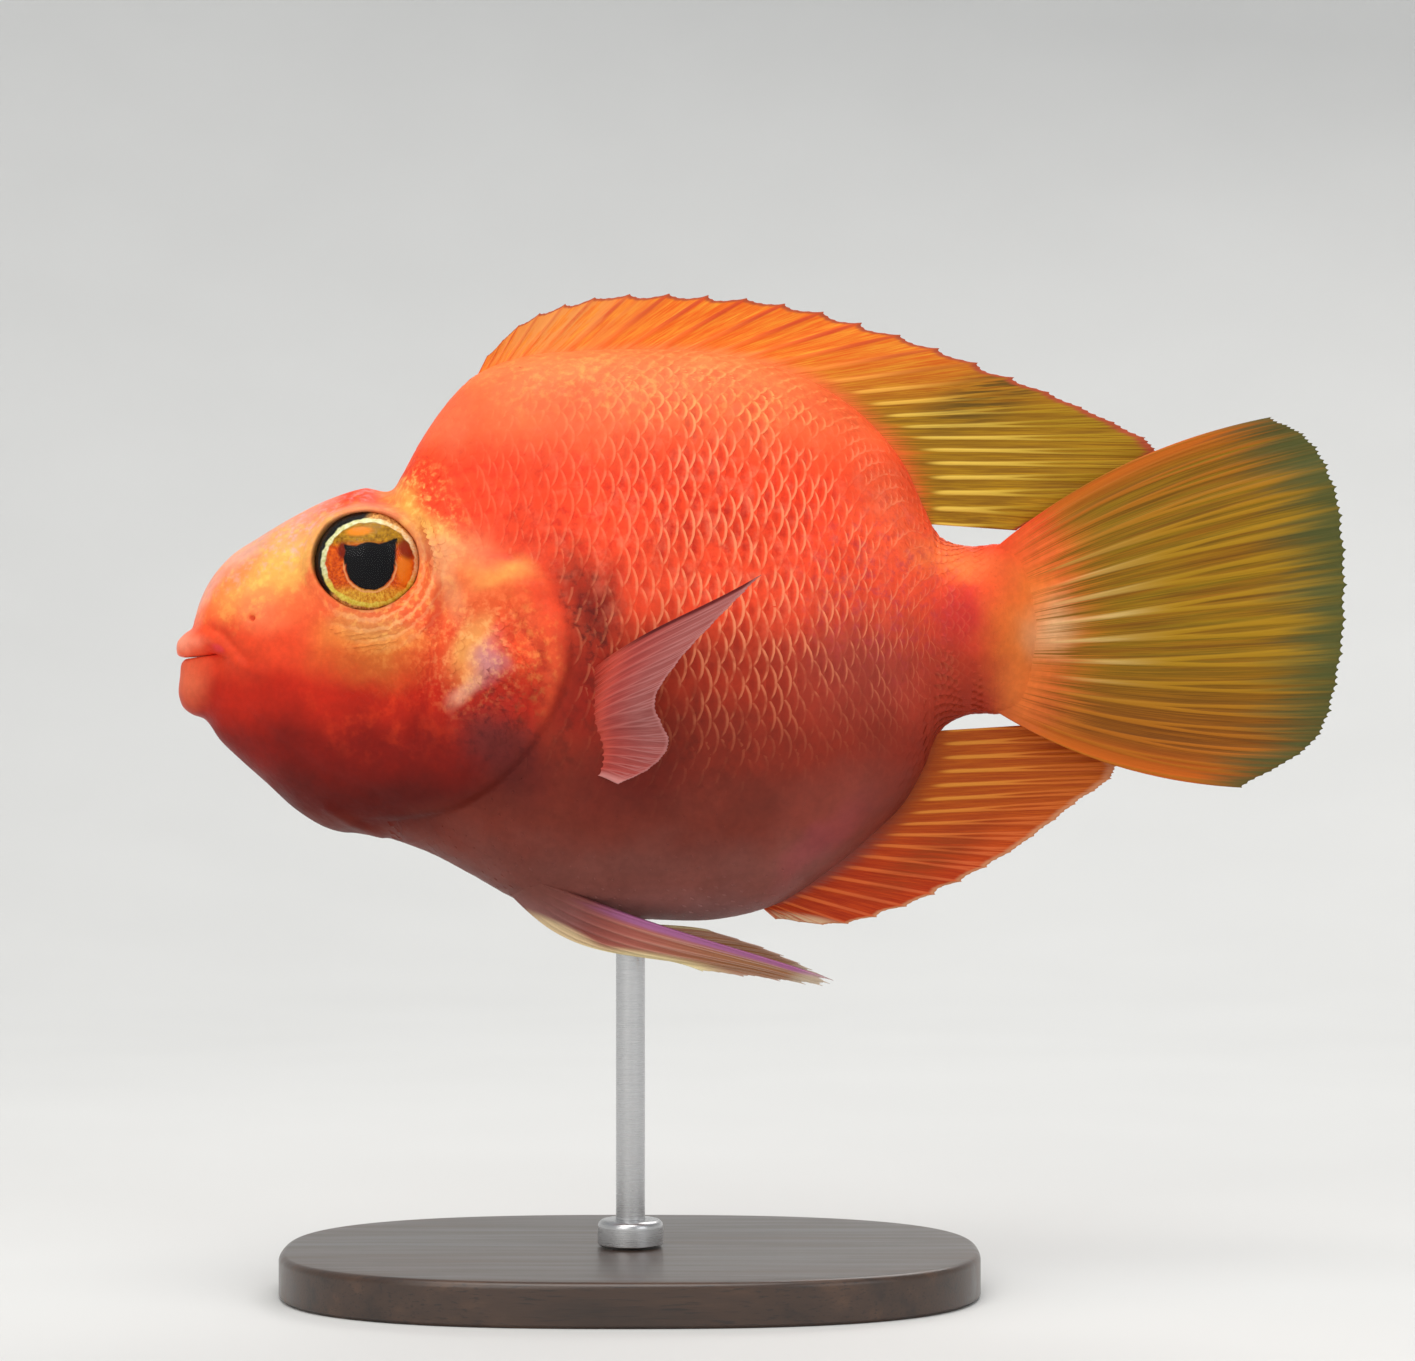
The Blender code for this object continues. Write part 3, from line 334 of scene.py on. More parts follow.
def skin_grid():
    """The skin's points: the plain form with its relief, orbits and the scales' depth off,
    and how much painted shade each point gets in its creases and just behind the gill edge."""
    turn = 2 * math.pi * (np.arange(ROUND_STEPS) + 0.5) / ROUND_STEPS
    angles = turn + 0.22 * np.sin(2 * turn)  # closer together on the flanks
    grid = body_points(ring_places()[:, None], angles[None, :])
    folds, behind = fold_relief(grid), behind_gill(grid)
    # Painted shade: darkest deep in the creases and nostrils and in a strip just behind the gill edge
    painted_shade = np.clip(-folds / 0.5, 0, 1) + 0.5 * np.exp(-(((behind - 0.7) / 0.9) ** 2))
    painted_shade *= ease(0.6, 3.0, np.abs(grid[..., 1]))
    rise = folds + gill_relief(grid) - SCALE_DEPTH * ease(-0.2, 1.2, behind)
    grid = grid + grid_normals(grid) * rise[..., None]
    for side, _ in SIDES:
        grid = set_orbit(grid, side)
    return grid, np.concatenate([painted_shade.ravel(), [0.0, 0.0]])


def make_mesh(name, vertices, faces, material, uv_maps=None, attributes=None):
    """A smooth shaded piece at the origin, from points in the fish's millimetres."""
    mesh = bpy.data.meshes.new(name)
    mesh.from_pydata(placed(vertices).tolist(), [], faces)
    corners = np.empty(len(mesh.loops), int)
    mesh.loops.foreach_get("vertex_index", corners)
    for layer, values in (uv_maps or {}).items():
        mesh.uv_layers.new(name=layer).uv.foreach_set("vector", values[corners].astype(np.float32).ravel())
    for layer, values in (attributes or {}).items():
        made = mesh.attributes.new(layer, "FLOAT", "POINT")
        made.data.foreach_set("value", np.asarray(values, np.float32).ravel())
    mesh.materials.append(material)
    mesh.shade_smooth()
    mesh.validate()
    piece = bpy.data.objects.new(name, mesh)
    bpy.context.scene.collection.objects.link(piece)
    return piece


def node(tree, kind, inputs=None, **settings):
    """A shader or geometry node with its settings, and its inputs given or linked."""
    made = tree.nodes.new(kind)
    for setting, value in settings.items():
        setattr(made, setting, value)
    for key, value in (inputs or {}).items():
        if isinstance(value, bpy.types.NodeSocket):
            tree.links.new(value, made.inputs[key])
        else:
            made.inputs[key].default_value = value
    return made


def maths(tree, operation, *values):
    """The result of one sum on numbers or sockets."""
    return node(tree, "ShaderNodeMath", dict(enumerate(values)), operation=operation).outputs[0]


def painted(tree, share, under, over, kind="MIX"):
    """One colour laid over another by a share."""
    inputs = {0: share, 6: under, 7: over}
    made = node(tree, "ShaderNodeMix", inputs, data_type="RGBA", blend_type=kind)
    return made.outputs[2]


def stepped(tree, value, low, high, start=0.0, end=1.0):
    """A smooth step from start to end as the value goes from low to high."""
    inputs = {"Value": value, "From Min": low, "From Max": high, "To Min": start, "To Max": end}
    return node(tree, "ShaderNodeMapRange", inputs, interpolation_type="SMOOTHSTEP").outputs[0]


def graded(tree, value, stops):
    """A colour that changes through stops of (value from 0 to 1, colour)."""
    made = node(tree, "ShaderNodeValToRGB", {"Fac": value})
    ramp = made.color_ramp
    ramp.interpolation = "EASE"
    while len(ramp.elements) < len(stops):
        ramp.elements.new(0.5)
    for element, (place, colour) in zip(ramp.elements, stops):
        element.position = place
        element.color = (*colour, 1.0)
    return made.outputs["Color"]


def noise(tree, place, size, detail=3.0, rough=0.5):
    """Cloudy noise whose blots are about the given size in the place's unit."""
    inputs = {"Vector": place, "Scale": 1.0 / size, "Detail": detail, "Roughness": rough}
    return node(tree, "ShaderNodeTexNoise", inputs).outputs["Fac"]


def fish_place(tree):
    """The surface's place in the fish's own millimetres, from Object coordinates."""
    inputs = {
        "Vector": node(tree, "ShaderNodeTexCoord").outputs["Object"],
        "Location": (TOTAL_LENGTH / 2, 0.0, -AXIS_HEIGHT),
        "Scale": (1000.0, 1000.0, 1000.0),
    }
    return node(tree, "ShaderNodeMapping", inputs, vector_type="POINT").outputs[0]


def spot(tree, place, centre, reach, turn=0.0, soft=0.6, strength=1.0):
    """The strength in the middle of a soft oval in side view, on both flanks, and 0 outside."""
    inputs = {
        "Vector": place,
        "Location": (centre[0], 0.0, centre[1]),
        "Rotation": (0.0, -math.radians(turn), 0.0),
        "Scale": (reach[0], 1000.0, reach[1]),
    }
    inside = node(tree, "ShaderNodeMapping", inputs, vector_type="TEXTURE").outputs[0]
    length = node(tree, "ShaderNodeVectorMath", {0: inside}, operation="LENGTH").outputs["Value"]
    return stepped(tree, length, 1.0 - soft, 1.0 + soft * 0.3, strength, 0.0)


# Ground colours by height, as (h, colour), on the flank and on the head; both darken towards the belly and throat,
# partly the fish's own colour and partly painted shade under light from above
FLANK_GROUND = (
    (-41.0, (0.28, 0.125, 0.115)), (-34.0, (0.21, 0.062, 0.048)), (-25.0, (0.18, 0.028, 0.016)),
    (-15.0, (0.25, 0.022, 0.009)), (-5.0, (0.44, 0.034, 0.012)), (5.0, (0.86, 0.070, 0.022)),
    (20.0, (0.92, 0.058, 0.014)), (29.0, (0.92, 0.13, 0.038)), (40.0, (0.90, 0.24, 0.070)),
)
HEAD_GROUND = (
    (-31.0, (0.10, 0.008, 0.003)), (-23.0, (0.11, 0.005, 0.002)), (-16.0, (0.21, 0.006, 0.002)),
    (-9.0, (0.50, 0.016, 0.004)), (-2.0, (0.82, 0.066, 0.018)), (6.0, (0.92, 0.17, 0.048)),
    (12.0, (0.94, 0.34, 0.14)), (19.0, (0.90, 0.36, 0.17)),
)
# Spots: centre (x, h), half length and height, turn in degrees, softness, strength, colour
SPOTS = (
    ((15.0, 8.6), (11.0, 3.8), 36, 0.9, 0.8, (0.96, 0.46, 0.09)),  # gold forehead
    ((12.0, 13.6), (15.0, 2.4), 36, 0.8, 0.75, (0.86, 0.45, 0.36)),  # pale pink brow, partly a painted sheen along its edge
    ((3.6, 5.0), (2.6, 6.5), -18, 0.9, 0.8, (0.88, 0.40, 0.30)),  # snout
    ((12.5, 3.0), (4.0, 4.5), 10, 0.9, 0.5, (0.95, 0.22, 0.09)),  # above the nostril
    ((0.8, -1.6), (3.4, 1.9), -10, 0.9, 0.75, (0.93, 0.34, 0.21)),  # upper lip
    ((0.4, -7.4), (4.0, 5.4), 0, 1.0, 0.62, (0.93, 0.20, 0.085)),  # lower lip
    ((4.8, -3.6), (1.6, 0.9), 0, 0.7, 0.8, (0.75, 0.03, 0.012)),  # corner of the mouth
    ((5.0, -3.2), (1.0, 0.8), 0, 0.6, 0.7, (0.80, 0.05, 0.06)),
    ((27.5, -3.6), (9.5, 4.8), -6, 0.9, 0.6, (0.58, 0.17, 0.022)),  # gold cheek
    ((28.0, -1.2), (9.0, 2.6), -4, 0.9, 0.5, (0.90, 0.36, 0.055)),  # under the eye
    ((28.6, -0.2), (7.0, 2.6), -4, 0.9, 0.45, (0.60, 0.30, 0.10)),
    ((33.5, 15.5), (8.0, 2.6), -38, 0.9, 0.8, (0.96, 0.50, 0.09)),  # behind the brow
    ((37.4, 8.0), (2.4, 8.0), 14, 0.9, 0.6, (0.95, 0.40, 0.17)),  # behind the eye
    ((46.0, 6.9), (5.6, 1.8), -6, 1.0, 0.6, (0.97, 0.48, 0.10)),  # top of the gill cover
    ((44.0, 3.4), (4.5, 2.4), -10, 0.9, 0.6, (0.88, 0.10, 0.02)),
    ((41.0, -2.6), (3.2, 5.6), -24, 0.8, 0.8, (0.95, 0.42, 0.11)),  # gill cover, gold
    ((43.4, -4.4), (2.4, 4.6), -30, 0.9, 0.75, (0.62, 0.28, 0.29)),  # gill cover, lilac
    ((40.4, -8.4), (1.8, 3.2), -20, 0.8, 0.7, (0.84, 0.42, 0.26)),
    ((46.8, -2.0), (2.0, 5.6), 20, 0.9, 0.6, (0.92, 0.09, 0.022)),
    ((44.5, -14.5), (6.0, 6.0), -30, 0.9, 0.7, (0.13, 0.022, 0.020)),  # under the cover, dark, partly painted shade
    ((50.6, -4.0), (2.4, 7.0), 14, 0.9, 0.6, (0.93, 0.12, 0.035)),  # cover's rear edge
    # dark below the gill cover's rear, partly painted shade
    ((47.0, -19.0), (6.0, 6.0), -40, 0.9, 0.75, (0.10, 0.010, 0.008)),
    ((57.4, 3.4), (4.8, 8.2), 14, 0.9, 0.9, (0.15, 0.008, 0.004)),  # dusky blotch
    ((57.0, -9.0), (4.4, 8.0), 0, 0.9, 0.7, (0.24, 0.006, 0.003)),
    ((62.0, -20.0), (9.0, 7.0), 0, 0.9, 0.6, (0.13, 0.008, 0.005)),
    ((107.2, 2.2), (5.6, 4.6), 30, 0.9, 0.55, (0.50, 0.012, 0.026)),  # tail stem
    ((94.0, -4.0), (13.0, 10.0), 0, 0.9, 0.55, (0.30, 0.050, 0.034)),
    ((106.0, 9.4), (8.0, 3.4), -4, 0.9, 0.8, (0.95, 0.21, 0.050)),
    ((118.0, 0.0), (8.0, 16.0), 0, 0.8, 0.9, (0.68, 0.17, 0.024)),  # root of the tail fin
    ((116.0, -8.0), (6.0, 6.0), 0, 0.9, 0.7, (0.66, 0.16, 0.030)),
    ((90.0, -24.0), (11.0, 6.0), 40, 0.9, 0.55, (0.30, 0.055, 0.036)),  # over the anal fin
    ((88.0, -29.6), (10.0, 2.8), 44, 0.9, 0.5, (0.32, 0.050, 0.060)),
    ((121.0, -9.5), (9.0, 5.0), -20, 0.9, 0.7, (0.66, 0.13, 0.020)),
    ((120.8, 0.3), (5.6, 5.6), 0, 1.0, 0.5, (0.68, 0.56, 0.32)),
    ((98.0, 16.0), (7.0, 12.0), 24, 0.9, 0.5, (0.90, 0.16, 0.055)),
    ((37.5, 27.5), (5.0, 3.6), 40, 1.0, 0.25, (0.90, 0.22, 0.11)),  # crest of the nape
)
# Blotches: middle (x, h), half length and height, turn, size of a blot, strength and colour
BLOTCHES = (
    ((15.0, 10.0), (15.0, 7.0), 36, 1.6, 0.55, (0.98, 0.58, 0.12)),  # forehead
    ((18.0, 14.0), (16.0, 3.6), 36, 1.2, 0.6, (0.78, 0.42, 0.42)),  # brow, pale pink, partly a painted sheen along its edge
    ((34.0, 17.0), (8.0, 4.5), -36, 1.0, 0.6, (0.98, 0.62, 0.16)),
    ((42.0, -3.0), (7.0, 9.0), -24, 1.0, 0.45, (0.98, 0.55, 0.20)),  # gill cover
    # dark blots under the gill cover, partly painted shade
    ((45.0, -13.0), (8.0, 9.0), -24, 1.2, 0.65, (0.07, 0.007, 0.007)),
    ((49.0, -2.0), (4.0, 9.0), 10, 1.2, 0.6, (0.98, 0.30, 0.07)),  # its folded rear edge
    ((48.6, -5.0), (4.0, 9.0), 10, 1.6, 0.6, (0.40, 0.012, 0.006)),
    ((57.0, 0.0), (5.0, 13.0), 10, 1.2, 0.7, (0.06, 0.005, 0.004)),  # behind the gills
    ((30.0, -10.0), (14.0, 8.0), 0, 2.1, 0.3, (0.85, 0.06, 0.012)),  # cheek
    ((30.0, 6.0), (11.5, 11.5), 0, 1.0, 0.5, (0.96, 0.56, 0.14)),  # round the eye
    ((74.0, 14.0), (34.0, 18.0), 0, 2.1, 0.25, (0.95, 0.30, 0.18)),  # flank, salmon
    ((64.0, 14.0), (40.0, 12.0), -8, 1.6, 0.62, (0.62, 0.012, 0.005)),  # flank, deep red
    ((62.0, -16.0), (24.0, 12.0), 0, 2.1, 0.5, (0.10, 0.012, 0.006)),  # lower flank
    ((62.0, 34.0), (32.0, 7.0), -6, 1.2, 0.35, (0.96, 0.50, 0.12)),  # back, gold
    ((96.0, 6.0), (14.0, 14.0), 0, 1.2, 0.5, (0.46, 0.040, 0.070)),  # rear flank
)


def height_share(tree, height, stops):
    """A ground colour by height, from its stops."""
    low, high = stops[0][0], stops[-1][0]
    share = node(tree, "ShaderNodeMapRange", {"Value": height, "From Min": low, "From Max": high})
    return graded(tree, share.outputs[0], [((h - low) / (high - low), c) for h, c in stops])


def markings_and_light_group():
    """The fish's markings, with painted shade towards the belly, the throat and under the gill covers and a painted
    sheen on the brow, shared by its skin and its scales.
    """
    tree = bpy.data.node_groups.new("fish_markings_and_painted_light", "ShaderNodeTree")
    tree.interface.new_socket("Colour", in_out="OUTPUT", socket_type="NodeSocketColor")
    place = fish_place(tree)
    drift = node(tree, "ShaderNodeTexNoise", {"Vector": place, "Scale": 0.12, "Detail": 2.0})
    centred = node(
        tree, "ShaderNodeVectorMath", {0: drift.outputs["Color"], 1: (0.5, 0.5, 0.5)},
        operation="SUBTRACT",
    )
    bent = node(
        tree, "ShaderNodeVectorMath", {0: centred.outputs[0], 1: (7.0, 7.0, 7.0), 2: place},
        operation="MULTIPLY_ADD",
    ).outputs[0]
    height = node(tree, "ShaderNodeSeparateXYZ", {0: bent}).outputs["Z"]
    colour = height_share(tree, height, FLANK_GROUND)
    on_head = spot(tree, bent, (22.0, -6.0), (31.0, 24.0), 0, 0.22)
    colour = painted(tree, on_head, colour, height_share(tree, height, HEAD_GROUND))
    for centre, reach, turn, soft, strength, shade in SPOTS:
        share = spot(tree, bent, centre, reach, turn, soft, strength)
        colour = painted(tree, share, colour, (*shade, 1.0))
    sizes = sorted({blotch[3] for blotch in BLOTCHES})
    clouds = {size: noise(tree, place, size, 3.0, 0.62) for size in sizes}
    blots = {size: stepped(tree, clouds[size], 0.46, 0.70) for size in sizes}
    for centre, reach, turn, size, strength, shade in BLOTCHES:
        near = spot(tree, bent, centre, reach, turn, 0.9, strength)
        colour = painted(tree, maths(tree, "MULTIPLY", near, blots[size]), colour, (*shade, 1.0))
    round_eye = {"Vector": place, "Location": (EYE_AT[0], 0.0, EYE_AT[1]), "Scale": (1.0, 1000.0, 1.0)}
    from_eye = node(tree, "ShaderNodeMapping", round_eye, vector_type="TEXTURE").outputs[0]
    away = node(tree, "ShaderNodeVectorMath", {0: from_eye}, operation="LENGTH").outputs["Value"]
    wavy = maths(tree, "MULTIPLY_ADD", clouds[1.6], 9.0, maths(tree, "MULTIPLY", away, 4.4))
    wrinkles = stepped(tree, maths(tree, "SINE", wavy), -0.1, 0.9)
    wrinkled = spot(tree, place, (29.8, 6.2), (9.0, 9.4), -20, 0.5, 0.3)
    colour = painted(tree, maths(tree, "MULTIPLY", wrinkles, wrinkled), colour, (0.97, 0.60, 0.27, 1.0))
    fine = stepped(tree, clouds[sizes[0]], 0.3, 0.7, 0.94, 1.06)
    broad = stepped(tree, noise(tree, place, 9.0, 2.0), 0.3, 0.7, 0.90, 1.10)
    both = maths(tree, "MULTIPLY", fine, broad)
    tone = node(tree, "ShaderNodeCombineColor", {0: both, 1: both, 2: both}).outputs[0]
    colour = painted(tree, 1.0, colour, tone, "MULTIPLY")
    end = tree.nodes.new("NodeGroupOutput")
    tree.links.new(colour, end.inputs[0])
    return tree


MARKINGS_AND_PAINTED_LIGHT = markings_and_light_group()


def new_finish(name):
    """An empty material: its node tree and its Principled shader."""
    material = bpy.data.materials.new(name)
    material.use_nodes = True
    return material, material.node_tree, material.node_tree.nodes["Principled BSDF"]


def set_shader(tree, shader, **inputs):
    """Sets or links the shader's inputs, named with _ for spaces."""
    for key, value in inputs.items():
        socket = shader.inputs[key.replace("_", " ")]
        if isinstance(value, bpy.types.NodeSocket):
            tree.links.new(value, socket)
        else:
            socket.default_value = value


def raised(tree, height, distance, strength=1.0):
    """A bump from a height, with its depth in metres."""
    inputs = {"Height": height, "Distance": distance, "Strength": strength}
    return node(tree, "ShaderNodeBump", inputs).outputs[0]


def skin_finish():
    """Painted skin with fine pits."""
    material, tree, shader = new_finish("painted_skin")
    place = fish_place(tree)
    colour = node(tree, "ShaderNodeGroup", node_tree=MARKINGS_AND_PAINTED_LIGHT).outputs[0]
    painted_shade = node(tree, "ShaderNodeAttribute", attribute_name="painted_shade").outputs["Fac"]
    # Painted shade: a reddish darkening over the markings in the creases and just behind the gill edge
    shade_wash = painted(tree, 1.0, colour, (0.60, 0.26, 0.22, 1.0), "MULTIPLY")
    colour = painted(tree, stepped(tree, painted_shade, 0.05, 1.2, 0.0, 0.7), colour, shade_wash)
    cells = node(tree, "ShaderNodeTexVoronoi", {"Vector": place, "Scale": 1.1}, feature="F1")
    pits = maths(tree, "ADD", cells.outputs["Distance"], noise(tree, place, 0.5, 3.0, 0.6))
    set_shader(
        tree, shader, Base_Color=colour,
        Roughness=stepped(tree, noise(tree, place, 3.0, 2.0), 0.3, 0.7, 0.42, 0.56),
        Specular_IOR_Level=0.15,
        Normal=raised(tree, pits, 0.00006, 0.5),
    )
    return material


skin_points, skin_painted_shade = skin_grid()
skin_mesh = closed_grid(skin_points)
skin = make_mesh("fish_skin", *skin_mesh, skin_finish(), attributes={"painted_shade": skin_painted_shade})
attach(skin, "root")
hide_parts("head", "lower_jaw", "gill_cover_left", "gill_cover_right", "trunk", "tail_stem")

# Scales. Thin horny plates in slanting rows, each rooted in the skin at its front and lying over
# the next, moulded with the skin and painted with pale rear margins.

# Between columns: the body's x and the step to the next column there
COLUMN_STEPS = ((29.0, 0.78), (40.0, 0.90), (52.0, 1.08), (80.0, 1.08), (104.0, 0.74), (116.0, 0.6))
SCALES_FROM, SCALES_TO = 29.5, 115.5
# Heights of the rows from the back to the belly, round the body's middle
ROW_HEIGHTS = (
    2.4, 2.7, 2.9, 3.1, 3.5, 4.2, 4.9, 5.3, 5.5, 5.5, 5.4, 5.2, 5.0, 4.8, 4.6, 4.4, 4.2, 4.0, 3.8,
    3.5, 3.2, 2.9, 2.6,
)
SCALE_LONG, SCALE_WIDE = 3.0, 1.12  # a scale's length and width over the column and row steps
SCALE_FRONT, SCALE_LIFT, SCALE_THICK, SCALE_ROUND = -0.07, 0.055, 0.035, 0.34
RELIEF_AT, RELIEF_REACH, RELIEF_LEAST = (70.0, 9.0), (42.0, 32.0), 0.14  # where they stand out
SCALE_LINES, SCALE_SIDES = (0.0, 0.4, 0.7, 0.9, 1.0), 6  # of its grid, along and across
SCALE_VARIED, SCALE_SEED = 0.07, 11
PATCH = 0.003  # width of each scale's patch on the unwrap
# Small scales of the face: middle (x, h), reach, steps along and across, and the lie's rise
FACE_SCALES = (
    ((28.0, -4.6), (9.0, 7.6), (0.60, 1.10), 0.12),  # cheek
    ((44.0, -5.0), (7.4, 10.6), (0.72, 1.30), -0.12),  # gill cover
    ((37.6, 12.0), (4.6, 4.4), (0.60, 1.10), -0.45),  # behind the eye
)
FACE_LIFT, FACE_RAGGED, FACE_SEED = 0.5, 0.12, 7  # relief over a flank scale's, and a ragged edge


def column_places():
    """Each column's x, and the step to the next."""
    places = [SCALES_FROM]
    while places[-1] < SCALES_TO:
        places.append(places[-1] + float(np.interp(places[-1], *zip(*COLUMN_STEPS))))
    return np.array(places)


def row_angles(along, shares):
    """Angles from the back at which each share of the way round to the belly is reached."""
    fine = np.linspace(0, math.pi, 241)
    ring = body_points(along, fine)
    steps = np.linalg.norm(np.diff(ring, axis=0), axis=1)
    girth = np.concatenate([[0.0], np.cumsum(steps)])
    return np.interp(np.asarray(shares) * girth[-1], girth, fine), girth[-1]


def unit(vectors):
    return vectors / np.linalg.norm(vectors, axis=-1, keepdims=True)


def scale_seats(side):
    """Where each scale sits: place, outward and rearward directions, size, unwrap and bend."""
    heights = np.array(ROW_HEIGHTS)
    edges = np.concatenate([[0.0], np.cumsum(heights)]) / heights.sum()
    columns = column_places()
    seats = []
    for i, x in enumerate(columns):
        step = float(np.diff(columns)[min(i, len(columns) - 2)])
        along = float(along_at(x))
        middle = (edges[:-1] + edges[1:]) / 2 if i % 2 else edges[1:-1]
        tall = heights / heights.sum() if i % 2 else (heights[1:] + heights[:-1]) / 2 / heights.sum()
        angles, girth = row_angles(along, middle)
        ahead, _ = row_angles(along + 0.8, middle)
        turned = angles if side == RIGHT else 2 * math.pi - angles
        turned_on = ahead if side == RIGHT else 2 * math.pi - ahead
        points = body_points(along, turned)
        lie = body_points(along + 0.8, turned_on) - points
        across = body_points(along, turned + 0.01) - points
        out = unit(np.cross(lie, across))
        stretch = np.linalg.norm(lie, axis=1) / 0.8
        half_long, half_tall = step * SCALE_LONG / 2, tall * SCALE_WIDE / 2
        ends = [body_points(along + way * half_long, turned) for way in (-1, 1)]
        for way in (-1, 1):
            edge, _ = row_angles(along, np.clip(middle + way * half_tall, 0, 1))
            ends.append(body_points(along, edge if side == RIGHT else 2 * math.pi - edge))
        drops = [((end - points) * out).sum(1) for end in ends]
        bend = np.stack([(drops[0] + drops[1]) / 2, (drops[2] + drops[3]) / 2, 0 * angles], axis=1)
        for row in range(len(middle)):
            size = (step * stretch[row] * SCALE_LONG, tall[row] * girth * SCALE_WIDE)
            unwrap = ((x - 20.0) / 100.0, middle[row])
            seats.append((points[row], out[row], lie[row], size, unwrap, bend[row]))
    return seats


def kept_seats(seats, side, upper):
    """The seats behind the gill edge on the back or the belly, varied a little, as arrays."""
    place, out, lie, size, unwrap, bend = (np.array(part, float) for part in zip(*seats))
    lie = unit(lie)
    behind = behind_gill(place)
    varied = np.random.default_rng(SCALE_SEED + side).normal(0, SCALE_VARIED, (len(place), 3))
    varied = np.clip(varied, -2 * SCALE_VARIED, 2 * SCALE_VARIED)
    place = place + lie * varied[:, :1] * size[:, :1] * 0.35
    place = place - out * SCALE_DEPTH * ease(-0.2, 1.2, behind)[:, None]
    far = np.hypot(*((place[:, [0, 2]] - RELIEF_AT) / RELIEF_REACH).T)
    relief = (1 - ease(0.45, 1.0, far)) * ease(0.5, 6.0, behind)
    relief = RELIEF_LEAST + (1 - RELIEF_LEAST) * relief
    size = np.column_stack([size * (1 + 0.6 * varied[:, 1:]), relief])
    kept = (behind > 0.5) & (place[:, 0] < 114.6) & ((unwrap[:, 1] < 0.5) == upper)
    return [part[kept] for part in (place, out, lie, size, unwrap, bend)]


def face_seats(side):
    """Seats of the small scales on the cheek and gill cover, smaller towards their edges."""
    tree = BVHTree.FromPolygons(*[list(map(tuple, part)) for part in skin_mesh])
    seats = []
    chance = np.random.default_rng(FACE_SEED + side)
    for middle, reach, (long_step, tall_step), rise in FACE_SCALES:
        columns = int(reach[0] / long_step)
        rows = int(reach[1] / tall_step) + 1
        for i in range(-columns, columns + 1):
            for j in range(-rows, rows + 1):
                across = (j + 0.5 * (i % 2)) * tall_step
                x = middle[0] + i * long_step - across * rise
                h = middle[1] + across + i * long_step * rise
                off = math.hypot((x - middle[0]) / reach[0], (h - middle[1]) / reach[1])
                point, normal, *_ = tree.ray_cast(Vector((x, side * 90.0, h)), Vector((0, -side, 0)))
                if point is None or off > 1 - FACE_RAGGED * chance.random() ** 2:
                    continue
                out = np.array(normal) * (1 if normal.y * side > 0 else -1)
                eye_away = math.hypot(x - EYE_AT[0], h - EYE_AT[1])
                if eye_away < ORBIT_RADIUS + 1.3 or behind_gill(np.array([point]))[0] > -0.8:
                    continue
                lie = np.array((1.0, 0.0, rise))
                lie = lie - out * (lie @ out)
                full = (1 - 0.25 * off**2) * (1 + 0.1 * chance.normal())
                lift = FACE_LIFT * (1 - 0.85 * ease(0.3, 0.95, off))
                size = (long_step * SCALE_LONG * full, tall_step * SCALE_WIDE * full, lift)
                unwrap = (x / 200, 0.5 + h / 200)
                seats.append((np.array(point), out, unit(lie), size, unwrap, (0.0, 0.0, 0.0)))
    return [np.array(part, float) for part in zip(*seats)]


def scale_plate():
    """One scale of unit length and width: domed, with a round rear edge and a thin rim."""
    wide = np.linspace(-1, 1, SCALE_SIDES + 1)
    along, across = np.meshgrid(SCALE_LINES, wide, indexing="ij")
    rear = 0.50 - SCALE_ROUND * np.abs(across) ** 2.1
    x = -0.5 + (rear + 0.5) * along
    y = across * 0.5 * (0.80 + 0.20 * ease(0.0, 0.5, along))
    lift = SCALE_FRONT + (SCALE_LIFT - SCALE_FRONT) * along**0.8 - 0.02 * across**4
    top = np.stack([x, y, lift], axis=-1).reshape(-1, 3)
    n, m = len(SCALE_LINES), SCALE_SIDES + 1
    rim = [i for i in range(m)] + [i * m + m - 1 for i in range(1, n)]
    rim += [(n - 1) * m + i for i in range(m - 2, -1, -1)] + [i * m for i in range(n - 2, 0, -1)]
    under = top[rim] - (0.0, 0.0, SCALE_THICK)
    faces = []
    for i in range(n - 1):
        for j in range(m - 1):
            a = i * m + j
            faces.append((a, a + m, a + m + 1, a + 1))
    for k in range(len(rim)):
        after = (k + 1) % len(rim)
        faces.append((rim[k], rim[after], len(top) + after, len(top) + k))
    faces.append(tuple(len(top) + k for k in range(len(rim))))
    lie = np.stack([along.ravel(), across.ravel() / 2 + 0.5], axis=-1)
    lie = np.vstack([lie, lie[rim]])
    mesh = bpy.data.meshes.new("scale_plate")
    mesh.from_pydata((np.vstack([top, under]) * MM).tolist(), [], faces)
    rim_edges = {frozenset(pair) for pair in zip(rim, rim[1:] + rim[:1])}
    corners = np.empty(len(mesh.loops), int)
    mesh.loops.foreach_get("vertex_index", corners)
    mesh.uv_layers.new(name="scale_lie").uv.foreach_set("vector", lie[corners].astype(np.float32).ravel())
    mesh.shade_smooth()
    for edge in mesh.edges:
        edge.use_edge_sharp = frozenset(edge.vertices) in rim_edges
    plate = bpy.data.objects.new("scale_plate", mesh)
    bpy.context.scene.collection.objects.link(plate)
    return plate


